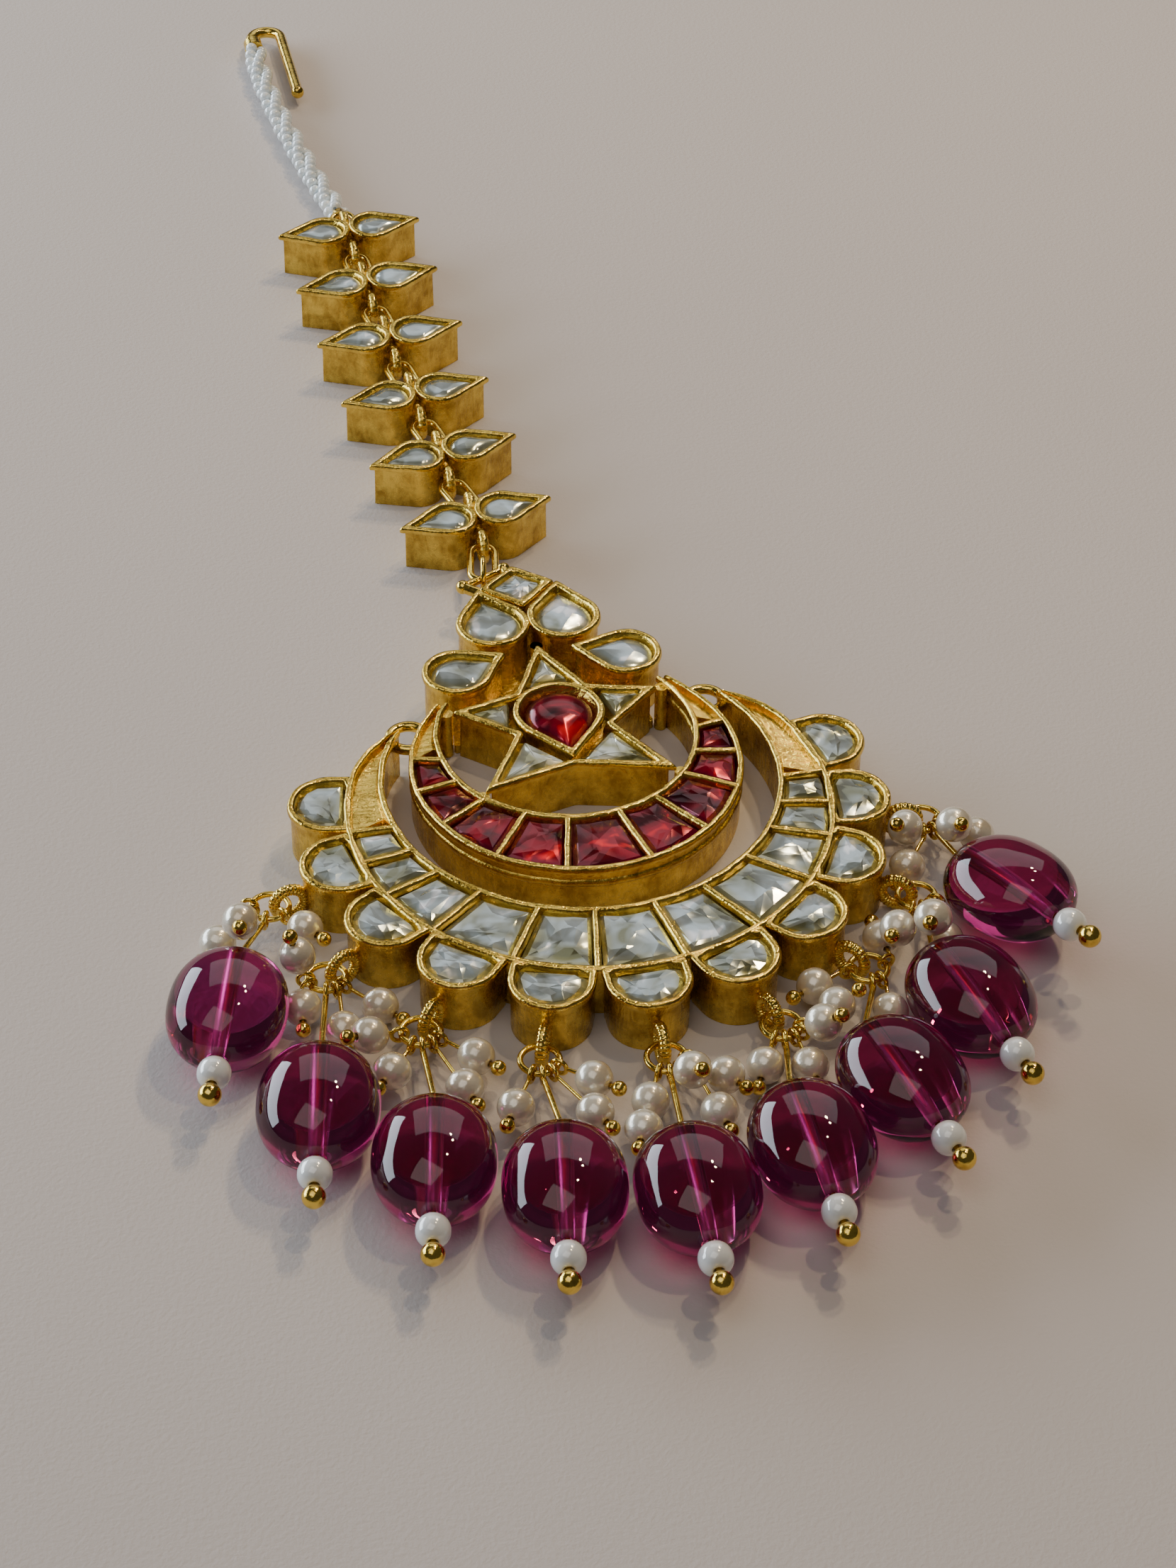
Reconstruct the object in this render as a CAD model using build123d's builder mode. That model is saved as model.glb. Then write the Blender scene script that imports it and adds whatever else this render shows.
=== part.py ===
from build123d import *
import os
from collections import namedtuple
from math import acos, atan2, cos, degrees, hypot, pi, radians, sin, sqrt, tan

# A maang tikka, a forehead pendant on a chain with a hair hook, lying flat. Millimetres.
# +Y runs from the pendant to the hook and +Z up from the surface that the piece lies on. The origin
# is the centre of the pendant's round rim, on its flat back. A bearing is in degrees, from -Y
# towards +X.

# ---- driving dimensions ------------------------------------------------------------------------
RIM_HEIGHT = 4.8          # height of the pendant's rims over its back
RIM_WIDTH = 0.65          # width of a rim, seen from above
RIM_DEPTH = 0.65          # height of a rim's band
RIM_PROUD = 0.25          # how far a rim stands out from the wall under it
POCKET_DEPTH = 2.2        # depth of a stone's pocket under the rim
HORN_DEPTH = 0.7          # depth of the plain recess in a horn
DIVIDER = 0.55            # thickness of a wall between two stones
GAP = 0.12                # clearance round a stone
TABLE_DEPTH = 0.25        # how far a stone's table lies under the rim

SCALLOP_PITCH = 20.3      # bearing from one scallop to the next
SCALLOP_COUNT = 11
SCALLOP_HALF_WIDTH = 3.4
SCALLOP_CENTRE = 20.95    # radius at which a scallop's round end is centred

BAIL_SIZE, BAIL_WIRE = 1.25, 0.45      # ring radius and wire radius of a scallop's soldered bail
BAIL_CENTRE = 25.4
RING_SIZE, RING_WIRE = 1.5, 0.25       # the jump ring that a drop hangs from
RING_CENTRE = 27.0
RING_HEIGHT = 1.9
LOOP_SIZE = 0.62                       # radius of the loop at the end of a pin
LOOP_STEP = 28.0                       # bearing from one pin's loop to the next on the jump ring

BEAD_HALF_LENGTH, BEAD_HALF_WIDTH, BEAD_HALF_THICKNESS, BEAD_HOLE = 5.55, 4.6, 3.6, 0.5
BEAD_END_RADIUS = 3.9     # plan radius of the oval's ends
BEAD_EDGE_RADIUS = 3.5    # how far its edge is rounded over
BEAD_HEIGHT = 3.7
TIP_LIFT = 2.0            # a bead whose end is tipped up rests higher by this times the sine
TIP_HALF_LENGTH, TIP_RADIUS, TIP_HOLE = 1.25, 1.3, 0.4
TIP_BALL = 0.9
BEAD_PIN_WIRE = 0.24
PEARL_RADIUS, PEARL_HOLE = 1.5, 0.28
PEARL_BALL = 0.6
PEARL_PIN_WIRE = 0.16
BEAD_GAP = 0.1            # clearance between beads on one pin

LINK_HEIGHT = 4.4
LEAF_RADIUS, LEAF_REACH = 2.45, 4.9    # round end, and its centre to the leaf's point
LEAF_OFFSET = 2.4                      # centre line of a pair to a round end's centre
EYE_SIZE, EYE_WIRE, EYE_HEIGHT = 1.15, 0.42, 2.6
EYE_OFFSET = 2.95                      # centre of a pair to the centre of its eye
OVAL_HALF_WIDTH, OVAL_WIRE = 1.1, 0.32

STRAND_RADIUS = 1.3
HOOK_WIRE = 0.6
HOOK_BEND = 1.6

Crescent = namedtuple("Crescent", "centre outer inner_centre inner shoulder horn_radius horn_top")
Teardrop = namedtuple("Teardrop", "x y turn radius reach")
Pair = namedtuple("Pair", "x y turn")
Drop = namedtuple("Drop", "scallop bearing reach axis rise")
PearlPin = namedtuple("PearlPin", "drop order bearing reach height pearls")

# The outer crescent's horns leave its round edge at a shoulder and run in along a tighter arc.
OUTER_CRESCENT = Crescent(centre=0.0, outer=19.83, inner_centre=3.55, inner=15.9,
                          shoulder=111.0, horn_radius=9.4, horn_top=12.1)
INNER_CRESCENT = Crescent(centre=5.5, outer=13.7, inner_centre=9.34, inner=10.43,
                          shoulder=None, horn_radius=None, horn_top=14.9)

# Bearings of the walls between stones, at the outer rim and at the inner rim, on the +X side.
OUTER_DIVIDERS = [(10.5, 10.5), (30.0, 30.0), (50.8, 50.8), (67.1, 67.1), (79.6, 79.6), (91.0, 91.0)]
INNER_DIVIDERS = [(15.0, 17.0), (40.0, 44.0), (65.0, 69.0), (85.0, 87.0), (102.6, 102.6)]

STAR_TIPS = [(0.0, 21.6), (-8.8, 13.9), (-8.0, 3.2), (8.0, 3.2), (8.8, 13.9)]
STAR_CORNERS = [(3.05, 15.3), (-3.05, 15.3), (-4.2, 9.8), (0.0, 5.2), (4.2, 9.8)]
STAR_BASE_MARGINS = [1.0, 0.45, -0.2, -0.2, 0.45]    # room that each arm leaves for the centre collet

CENTRE_DROP = Teardrop(0.0, 12.25, 180.0, 3.85, 6.05)
CROWN_DROPS = [Teardrop(3.1, 25.1, -4.0, 3.2, 5.1), Teardrop(-3.1, 25.1, 4.0, 3.2, 5.1)]
SIDE_DROPS = [Teardrop(7.3, 19.1, 69.7, 3.0, 4.9), Teardrop(-7.3, 19.1, -69.7, 3.0, 4.9)]
KITE = [(0.0, 33.0), (-3.4, 30.1), (0.0, 27.0), (3.4, 30.1)]
BACK_PLATE = [(8.6, 14.0), (7.6, 19.5), (4.0, 25.0), (0.0, 30.5), (-4.0, 25.0), (-7.6, 19.5),
              (-8.6, 14.0)]
SOLDER_POSTS = [(8.2, 3.0), (9.15, 14.1), (0.0, 21.7)]

SIDE_LOOP = (12.6, 12.9)
SIDE_LOOP_SIZE, SIDE_LOOP_WIRE, SIDE_LOOP_HEIGHT = 1.55, 0.45, 3.2

# The top bar, on two lugs beside the kite's upper edge, and the ring that stands on it.
BAR_CENTRE, BAR_TURN, BAR_LENGTH, BAR_WIRE, BAR_HEIGHT = (-2.35, 33.25), 25.0, 4.4, 0.35, 3.4
BAIL_RING_SIZE, BAIL_RING_WIRE = 1.45, 0.25

PAIRS = [Pair(-1.3, 42.0, 9.0), Pair(-2.4, 52.3, 10.0), Pair(-3.2, 62.4, 6.0),
         Pair(-3.8, 72.7, 5.0), Pair(-4.3, 82.8, 6.0), Pair(-4.5, 92.7, 3.0)]

STRAND_ROUTE = [(-4.6, 98.7, 2.2), (-5.0, 102.9, 1.5), (-5.8, 108.0, 1.35), (-6.5, 113.5, 1.36),
                (-7.2, 119.2, 1.35), (-7.7, 125.0, 1.37), (-8.1, 130.8, 1.35), (-7.9, 136.2, 1.4)]
STRAND_FILL = 0.45        # share of the shorter run that each bend's arc takes

# Each drop hangs from its scallop's jump ring: bearing and reach of the bead's centre from the
# ring's centre, bearing of the bead's own axis, and how far its outer end is tipped up.
DROPS = [Drop(-4, -21.3, 13.85, -16, 0), Drop(-3, -11, 15.75, -11, 0), Drop(-2, -6.4, 15.35, -11, 0),
         Drop(-1, -4.7, 14.95, -10, 0), Drop(0, -5, 15.35, -3, 0), Drop(1, -6, 14.4, 1, 0),
         Drop(2, -5.7, 13.95, 13, 0), Drop(3, 0.5, 13.85, 13, 0), Drop(4, 16.5, 12.45, 24, 10)]

# Pearls on their own pins: the jump ring's drop, place of the pin's loop on the ring counted from
# the bead's loop, and where the pearl's centre lies from the ring's centre.
PEARL_PINS = [
    PearlPin(0, -2, -56, 5.5, 1.6, 1), PearlPin(0, -3, -28, 6.2, 5.7, 1), PearlPin(0, 2, 34, 4.1, 2.2, 1),
    PearlPin(1, -3, -90, 2.2, 4.6, 1), PearlPin(1, -2, -41, 3.5, 1.6, 1), PearlPin(1, 1, 4, 5.7, 1.6, 1),
    PearlPin(1, 2, 44, 5.1, 1.6, 1),
    PearlPin(2, -3, -78, 4.1, 3.1, 1), PearlPin(2, -1, -36, 4.9, 2.1, 1), PearlPin(2, 1, 17, 7.2, 2.2, 1),
    PearlPin(2, 2, 43, 5.2, 2.2, 1),
    PearlPin(3, -1, -30, 5.6, 2.2, 1), PearlPin(3, 1, 23, 7.2, 2.3, 1), PearlPin(3, 2, 48, 4.7, 2.2, 1),
    PearlPin(4, -1, -27, 5.0, 2.1, 2), PearlPin(4, 1, 17, 3.8, 3.9, 1), PearlPin(4, 2, 21, 7.0, 2.1, 1),
    PearlPin(4, 3, 51, 4.9, 2.3, 1),
    PearlPin(5, -1, -31, 4.3, 1.6, 1), PearlPin(5, 1, 12, 4.8, 1.9, 1), PearlPin(5, 2, 47, 3.5, 3.9, 1),
    PearlPin(5, 3, 97, 4.5, 2.6, 1),
    PearlPin(6, -3, -75, 4.8, 2.0, 1), PearlPin(6, 1, 5, 4.7, 1.6, 1), PearlPin(6, 4, 150, 4.0, 1.6, 1),
    PearlPin(7, -1, -30, 6.7, 4.2, 1), PearlPin(7, 1, 10, 5.2, 1.6, 1), PearlPin(7, 2, -8, 7.0, 5.9, 1),
    PearlPin(8, -2, -41, 3.5, 3.6, 1), PearlPin(8, -1, -28, 5.8, 1.6, 1), PearlPin(8, 1, 22, 3.9, 4.1, 1),
    PearlPin(8, 2, 57, 4.6, 1.7, 1),
]


# ---- plan geometry -----------------------------------------------------------------------------
def polar(radius, bearing, centre_y=0.0):
    """Point at a bearing about a centre on the Y axis."""
    angle = radians(bearing)
    return (radius * sin(angle), centre_y - radius * cos(angle))


def heading(bearing, rise=0.0):
    """Unit vector along a bearing, raised by an angle over the horizontal."""
    flat = cos(radians(rise))
    return Vector(flat * sin(radians(bearing)), -flat * cos(radians(bearing)), sin(radians(rise)))


def mirrored(point):
    return (-point[0], point[1])


def spread(first, last, count):
    """Evenly spaced values from first to last."""
    return [first + (last - first) * i / (count - 1) for i in range(count)]


def inner_point(crescent, bearing, radius):
    """Where a bearing about the outer centre meets a circle about the inner centre."""
    lift = crescent.inner_centre - crescent.centre
    across, along = sin(radians(bearing)), -cos(radians(bearing))
    travel = along * lift + sqrt((along * lift) ** 2 + radius ** 2 - lift ** 2)
    return (travel * across, crescent.centre + travel * along)


def inset(corners, margins):
    """Corners of a convex outline, listed anticlockwise, with each side moved in by its margin."""
    sides = []
    for (x0, y0), (x1, y1), margin in zip(corners, corners[1:] + corners[:1], margins):
        length = hypot(x1 - x0, y1 - y0)
        nx, ny = (y0 - y1) / length, (x1 - x0) / length
        sides.append((nx, ny, nx * x0 + ny * y0 + margin))
    moved = []
    for (a, b, c), (d, e, f) in zip(sides[-1:] + sides[:-1], sides):
        scale = a * e - b * d
        moved.append(((c * e - b * f) / scale, (a * f - c * d) / scale))
    return moved


def clipped(corners, cut):
    """Each corner replaced by two points, at a share of the way along its two sides."""
    points = []
    for before, here, after in zip(corners[-1:] + corners[:-1], corners, corners[1:] + corners[:1]):
        for other in (before, after):
            points.append((here[0] + cut * (other[0] - here[0]), here[1] + cut * (other[1] - here[1])))
    return points


def scaled(outline, share):
    """An outline shrunk about the mean of its points."""
    mean_x = sum(x for x, y in outline) / len(outline)
    mean_y = sum(y for x, y in outline) / len(outline)
    return [(mean_x + share * (x - mean_x), mean_y + share * (y - mean_y)) for x, y in outline]


def crescent_face(crescent, grow=0.0):
    """A crescent's face between its two round edges, moved out by grow, with blunt horns."""
    outer = crescent.outer + grow
    with BuildSketch() as face:
        if crescent.shoulder:
            shoulder = polar(outer, crescent.shoulder, crescent.centre)
            hub = polar(crescent.outer - crescent.horn_radius, crescent.shoulder, crescent.centre)
            reach = crescent.horn_radius + grow
            bulge, beyond = [Vector(*hub) + heading(crescent.shoulder + turn) * reach for turn in (30, 60)]
            with BuildLine():
                ThreePointArc(mirrored(shoulder), (0, crescent.centre - outer), shoulder)
                ThreePointArc(shoulder, (bulge.X, bulge.Y), (beyond.X, beyond.Y))
                Line((beyond.X, beyond.Y), (-beyond.X, beyond.Y))
                ThreePointArc((-beyond.X, beyond.Y), (-bulge.X, bulge.Y), mirrored(shoulder))
            make_face()
        else:
            with Locations((0, crescent.centre)):
                Circle(outer)
        with Locations((0, crescent.inner_centre)):
            Circle(crescent.inner - grow, mode=Mode.SUBTRACT)
        with Locations((0, crescent.horn_top + grow)):
            Rectangle(60, 60, align=(Align.CENTER, Align.MIN), mode=Mode.SUBTRACT)
    return face.sketch


def teardrop_points(drop, grow, arc_steps):
    """A teardrop's point, then its round end, moved out by grow and set in place."""
    radius = drop.radius + grow
    reach = drop.reach * radius / drop.radius
    flank = degrees(acos(radius / reach))
    local = [(0.0, reach)]
    for angle in spread(flank, 360.0 - flank, arc_steps):
        local.append((-radius * sin(radians(angle)), radius * cos(radians(angle))))
    turn = radians(drop.turn)
    return [(drop.x + x * cos(turn) - y * sin(turn), drop.y + x * sin(turn) + y * cos(turn))
            for x, y in local]


def teardrop_face(drop, grow=0.0):
    """A teardrop's face: a round end whose tangents meet at a point."""
    tip, left, bottom, right = teardrop_points(drop, grow, 3)
    with BuildSketch() as face:
        with BuildLine():
            Line(tip, left)
            ThreePointArc(left, bottom, right)
            Line(right, tip)
        make_face()
    return face.sketch


def star_face(grow=0.0):
    """The five-armed star between its tips and its inner corners."""
    corners = [point for pair in zip(STAR_CORNERS, STAR_TIPS) for point in pair]
    with BuildSketch() as face:
        Polygon(*corners, align=None)
        if grow:
            offset(amount=grow, kind=Kind.INTERSECTION, mode=Mode.REPLACE)
    return face.sketch


def star_arm(index, margin, base_margin):
    """One arm's triangle, set in from its two edges and from its base."""
    first, tip = STAR_CORNERS[index], STAR_TIPS[index]
    last = STAR_CORNERS[(index + 1) % len(STAR_CORNERS)]
    return inset([first, tip, last], [margin, margin, base_margin])


def scallop_bearings():
    middle = (SCALLOP_COUNT - 1) / 2
    return [SCALLOP_PITCH * (i - middle) for i in range(SCALLOP_COUNT)]


def divider_list(dividers):
    """The walls of both sides of a crescent, from the lowest bearing to the highest."""
    return [(-outer, -inner) for outer, inner in reversed(dividers)] + dividers


# ---- metal -------------------------------------------------------------------------------------
def wall_and_rim(height):
    """Lower level, upper level and growth of a collet's wall, then of the rim over it."""
    band = height - RIM_DEPTH
    return (0.0, band, -RIM_PROUD), (band, height, 0.0)


def add_scallops(grow):
    """The scallops round the outer crescent, in the sketch being built."""
    for bearing in scallop_bearings():
        with Locations(polar(SCALLOP_CENTRE, bearing)):
            Circle(SCALLOP_HALF_WIDTH + grow)
        root = OUTER_CRESCENT.outer - 1.2
        with Locations(polar((root + SCALLOP_CENTRE) / 2, bearing)):
            Rectangle(2 * (SCALLOP_HALF_WIDTH + grow), SCALLOP_CENTRE - root, rotation=bearing)


def channel_face(crescent, dividers):
    """A crescent's stone pockets: its inset face less the dividers, up to the last of them."""
    last_y = polar(crescent.outer, dividers[-1][0], crescent.centre)[1]
    with BuildSketch() as face:
        add(crescent_face(crescent, -RIM_WIDTH))
        with Locations((0, last_y)):
            Rectangle(50, 50, align=(Align.CENTER, Align.MIN), mode=Mode.SUBTRACT)
        for outer, inner in divider_list(dividers):
            start = Vector(*polar(crescent.outer, outer, crescent.centre))
            end = Vector(*inner_point(crescent, inner, crescent.inner))
            run = end - start
            with Locations((start + end) / 2):
                Rectangle(run.length, DIVIDER, rotation=degrees(atan2(run.Y, run.X)), mode=Mode.SUBTRACT)
    return face.sketch


def horn_face(crescent, dividers):
    """The plain recess of both horns, above the last divider."""
    last_y = polar(crescent.outer, dividers[-1][0], crescent.centre)[1]
    with BuildSketch() as face:
        add(crescent_face(crescent, -RIM_WIDTH))
        with Locations((0, last_y + DIVIDER)):
            Rectangle(50, 50, align=(Align.CENTER, Align.MAX), mode=Mode.SUBTRACT)
    return face.sketch


def add_rod(start, end, radius):
    """A round rod from one point to another, in the part being built."""
    run = Vector(end) - Vector(start)
    with Locations(Plane(origin=start, z_dir=run)):
        Cylinder(radius, run.length, align=(Align.CENTER, Align.CENTER, Align.MIN))


def add_ring(centre, normal, size, wire):
    """A round ring of wire about a centre, square to its normal."""
    with Locations(Plane(origin=centre, z_dir=normal)):
        Torus(size, wire)


with BuildPart() as pendant_frame:
    # Walls first, then the rims that stand proud of them.
    for low, high, grow in wall_and_rim(RIM_HEIGHT):
        with BuildSketch(Plane.XY.offset(low)):
            add(crescent_face(OUTER_CRESCENT, grow))
            add_scallops(grow)
            add(crescent_face(INNER_CRESCENT, grow))
            add(star_face(grow))
            for drop in CROWN_DROPS + SIDE_DROPS:
                add(teardrop_face(drop, grow))
            Polygon(*inset(KITE, [-grow] * 4), align=None)
        extrude(amount=high - low)
    with BuildSketch():
        Polygon(*BACK_PLATE, align=None)
    extrude(amount=0.8)
    for x, y in SOLDER_POSTS:
        for side in (1, -1):
            with Locations((side * x, y, 0)):
                Cylinder(0.55, RIM_HEIGHT - 0.5, align=(Align.CENTER, Align.CENTER, Align.MIN))

    with BuildSketch(Plane.XY.offset(RIM_HEIGHT - HORN_DEPTH)):
        add(horn_face(OUTER_CRESCENT, OUTER_DIVIDERS))
        add(horn_face(INNER_CRESCENT, INNER_DIVIDERS))
    extrude(amount=HORN_DEPTH, mode=Mode.SUBTRACT)
    with BuildSketch(Plane.XY.offset(RIM_HEIGHT - POCKET_DEPTH)):
        add(channel_face(OUTER_CRESCENT, OUTER_DIVIDERS))
        add(channel_face(INNER_CRESCENT, INNER_DIVIDERS))
    extrude(amount=POCKET_DEPTH, mode=Mode.SUBTRACT)
    with BuildSketch(Plane.XY.offset(RIM_HEIGHT - POCKET_DEPTH)):
        for bearing in scallop_bearings():
            with Locations(polar(SCALLOP_CENTRE, bearing)):
                Circle(SCALLOP_HALF_WIDTH - RIM_WIDTH)
            with Locations(polar((OUTER_CRESCENT.outer + SCALLOP_CENTRE) / 2, bearing)):
                Rectangle(2 * (SCALLOP_HALF_WIDTH - RIM_WIDTH), SCALLOP_CENTRE - OUTER_CRESCENT.outer,
                          rotation=bearing)
        with BuildSketch(mode=Mode.SUBTRACT):
            Circle(OUTER_CRESCENT.outer)
        for index, base_margin in enumerate(STAR_BASE_MARGINS):
            Polygon(*star_arm(index, RIM_WIDTH, base_margin - GAP), align=None)
        for drop in CROWN_DROPS + SIDE_DROPS:
            add(teardrop_face(drop, -RIM_WIDTH))
        with BuildSketch(mode=Mode.ADD):
            Polygon(*inset(KITE, [RIM_WIDTH] * 4), align=None)
            for drop in CROWN_DROPS:
                add(teardrop_face(drop), mode=Mode.SUBTRACT)
    extrude(amount=POCKET_DEPTH, mode=Mode.SUBTRACT)
    # The centre collet stands in the middle of the star.
    with BuildSketch():
        add(teardrop_face(CENTRE_DROP))
    extrude(amount=RIM_HEIGHT)
    with BuildSketch(Plane.XY.offset(RIM_HEIGHT - POCKET_DEPTH)):
        add(teardrop_face(CENTRE_DROP, -RIM_WIDTH))
    extrude(amount=POCKET_DEPTH, mode=Mode.SUBTRACT)

    # Bails for the drops, loops beside the horns, and the bar that the chain's ring stands on.
    for drop in DROPS:
        bearing = SCALLOP_PITCH * drop.scallop
        add_ring((*polar(BAIL_CENTRE, bearing), RING_HEIGHT), heading(bearing + 90), BAIL_SIZE, BAIL_WIRE)
    for side in (1, -1):
        loop_centre = (side * SIDE_LOOP[0], SIDE_LOOP[1], SIDE_LOOP_HEIGHT)
        add_ring(loop_centre, (0, 0, 1), SIDE_LOOP_SIZE, SIDE_LOOP_WIRE)
    bar_middle = Vector(*BAR_CENTRE, BAR_HEIGHT)
    bar_run = Vector(cos(radians(BAR_TURN)), sin(radians(BAR_TURN)), 0)
    bar_ends = [bar_middle + bar_run * (side * BAR_LENGTH / 2) for side in (1, -1)]
    add_rod(*bar_ends, BAR_WIRE)
    for end in bar_ends:
        root = Vector(end.X * 0.55, end.Y - 1.9, end.Z)
        add_rod(root, end, 0.5)
        with Locations(end):
            Sphere(0.62)
pendant_frame.part.label = "pendant_frame"


def leaf_pair_drops(pair):
    """The two leaves of a pair, with their points outwards."""
    turn = radians(pair.turn)
    return [Teardrop(pair.x + side * LEAF_OFFSET * cos(turn), pair.y + side * LEAF_OFFSET * sin(turn),
                     pair.turn - side * 90.0, LEAF_RADIUS, LEAF_REACH) for side in (1, -1)]


def eye_centre(pair, side):
    """Centre of a pair's upper (+1) or lower (-1) eye."""
    return Vector(pair.x, pair.y + side * EYE_OFFSET, EYE_HEIGHT)


leaf_links = []
for number, pair in enumerate(PAIRS, start=1):
    with BuildPart() as leaf_link:
        for low, high, grow in wall_and_rim(LINK_HEIGHT):
            with BuildSketch(Plane.XY.offset(low)):
                for drop in leaf_pair_drops(pair):
                    add(teardrop_face(drop, grow))
            extrude(amount=high - low)
        # Solder between the leaves, and an eye at each end of it.
        with Locations((pair.x, pair.y, EYE_HEIGHT)):
            Box(1.3, 2 * (EYE_OFFSET - EYE_SIZE), 2.4)
        for side in (1, -1):
            add_ring(eye_centre(pair, side), (1, 0, 0), EYE_SIZE, EYE_WIRE)
        with BuildSketch(Plane.XY.offset(LINK_HEIGHT - POCKET_DEPTH)):
            for drop in leaf_pair_drops(pair):
                add(teardrop_face(drop, -RIM_WIDTH))
        extrude(amount=POCKET_DEPTH, mode=Mode.SUBTRACT)
    leaf_link.part.label = f"leaf_link_{number}"
    leaf_links.append(leaf_link)


# ---- link rings, strand and hook ---------------------------------------------------------------
def oval_ring(start, end):
    """A long link of round wire whose two bends are centred by two points."""
    run = (end - start).normalized()
    across = Vector(-run.Y, run.X, 0) * OVAL_HALF_WIDTH
    with BuildPart() as ring:
        with BuildLine() as loop:
            Line(start + across, end + across)
            ThreePointArc(end + across, end + run * OVAL_HALF_WIDTH, end - across)
            Line(end - across, start - across)
            ThreePointArc(start - across, start - run * OVAL_HALF_WIDTH, start + across)
        with BuildSketch(Plane(origin=start + across, z_dir=run)):
            Circle(OVAL_WIRE)
        sweep(path=loop.wire())
    return ring.part


def link_between(first, last):
    """An oval link through two eyes, from the centre of one hole to the centre of the other."""
    run = (last - first).normalized() * OVAL_HALF_WIDTH
    return oval_ring(first + run, last - run)


bail_run = eye_centre(PAIRS[0], -1) - bar_middle
bail_run = Vector(bail_run.X, bail_run.Y, 0).normalized()
bail_centre = bar_middle + bail_run * 0.6
oval_links = [link_between(bail_centre + bail_run * 0.2 + Vector(0, 0, -0.8), eye_centre(PAIRS[0], -1))]
for lower, upper in zip(PAIRS, PAIRS[1:]):
    oval_links.append(link_between(eye_centre(lower, 1), eye_centre(upper, -1)))
with BuildPart() as link_rings:
    add_ring(bail_centre, (bail_run.Y, -bail_run.X, 0), BAIL_RING_SIZE, BAIL_RING_WIRE)
    add(oval_links)
link_rings.part.label = "link_rings"

route_start, route_end = Vector(*STRAND_ROUTE[0]), Vector(*STRAND_ROUTE[-1])
with BuildPart() as strand_cap:
    # A ring through the last pair's upper eye, soldered to a cap over the strand's end.
    cap_end = route_start - (Vector(*STRAND_ROUTE[1]) - route_start).normalized() * 0.12
    ring_centre = eye_centre(PAIRS[-1], 1) + Vector(0, 1.1, 0)
    add_ring(ring_centre, (0, -0.2, 1), 1.1, 0.3)
    cap_root = ring_centre + Vector(0, 0.95, -0.2)
    add_rod(cap_root, cap_end, 0.75)
strand_cap.part.label = "strand_cap"


def bend_radii(route, fill):
    """Radius of the arc at each inner point, from the shorter run beside it and the turn."""
    points = [Vector(*p) for p in route]
    radii = []
    for before, here, after in zip(points, points[1:], points[2:]):
        run_in, run_out = here - before, after - here
        half_turn = radians(run_in.get_angle(run_out)) / 2
        radii.append(fill * min(run_in.length, run_out.length) / tan(half_turn))
    return radii


strand_radii = bend_radii(STRAND_ROUTE, STRAND_FILL)
with BuildPart() as seed_bead_strand:
    with BuildLine() as strand_path:
        FilletPolyline(*STRAND_ROUTE, radius=strand_radii)
    with BuildSketch(Plane(origin=route_start, z_dir=Vector(*STRAND_ROUTE[1]) - route_start)):
        Circle(STRAND_RADIUS)
    sweep(path=strand_path.wire())
seed_bead_strand.part.label = "seed_bead_strand"
print("strand radii", [round(radius, 1) for radius in strand_radii])
print("strand length", round(strand_path.wire().length, 2), "volume over section times length",
      round(seed_bead_strand.part.volume / (pi * STRAND_RADIUS ** 2 * strand_path.wire().length), 4))

with BuildPart() as hair_hook:
    # A J of round wire beside the strand: a short shank with a cap, a bend, and the long free leg.
    shank = route_end + Vector(0, 1.4, 0)
    shank_top = Vector(shank.X, shank.Y + 0.9, shank.Z)
    leg_top = shank_top + Vector(2 * HOOK_BEND, 0, 0)
    leg_end = leg_top + Vector(0, -12.4, 0)
    with BuildLine() as hook_path:
        Line(shank, shank_top)
        ThreePointArc(shank_top, shank_top + Vector(HOOK_BEND, HOOK_BEND, 0), leg_top)
        Line(leg_top, leg_end)
    with BuildSketch(Plane(origin=shank, z_dir=(0, 1, 0))):
        Circle(HOOK_WIRE)
    sweep(path=hook_path.wire())
    with Locations(leg_end):
        Sphere(HOOK_WIRE * 1.15)
    add_rod(route_end + Vector(0, 0.15, 0), shank + Vector(0, 0.1, 0), 1.0)
hair_hook.part.label = "hair_hook"


# ---- stones ------------------------------------------------------------------------------------
FACET_TIERS = [(0.0, 1.0), (0.45, 1.0), (0.78, 0.86), (1.0, 0.6)]
DOME_TIERS = [(0.0, 1.0), (0.35, 1.0), (0.65, 0.9), (0.88, 0.7), (1.0, 0.42)]


def cut_stone(outline, rim_height, tiers):
    """A stone in its pocket: a girdle of flat sides, tiers of facets over it and a table."""
    base = rim_height - POCKET_DEPTH + GAP
    depth = rim_height - TABLE_DEPTH - base
    with BuildPart() as stone:
        for level, share in tiers:
            with BuildSketch(Plane.XY.offset(base + level * depth)):
                Polygon(*scaled(outline, share), align=None)
        loft(ruled=True)
    return stone.part


def channel_outlines(crescent, dividers):
    """Each channel stone's eight corners, between one divider and the next."""
    walls = divider_list(dividers)
    outer = crescent.outer - RIM_WIDTH - GAP
    inner = crescent.inner + RIM_WIDTH + GAP
    clear = degrees((DIVIDER / 2 + 2.5 * GAP) / crescent.inner)
    outlines = []
    for (outer_from, inner_from), (outer_to, inner_to) in zip(walls, walls[1:]):
        far = [polar(outer, b, crescent.centre) for b in spread(outer_from + clear, outer_to - clear, 4)]
        near = [inner_point(crescent, b, inner) for b in spread(inner_from + clear, inner_to - clear, 4)]
        outlines.append(far + near[::-1])
    return outlines


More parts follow.
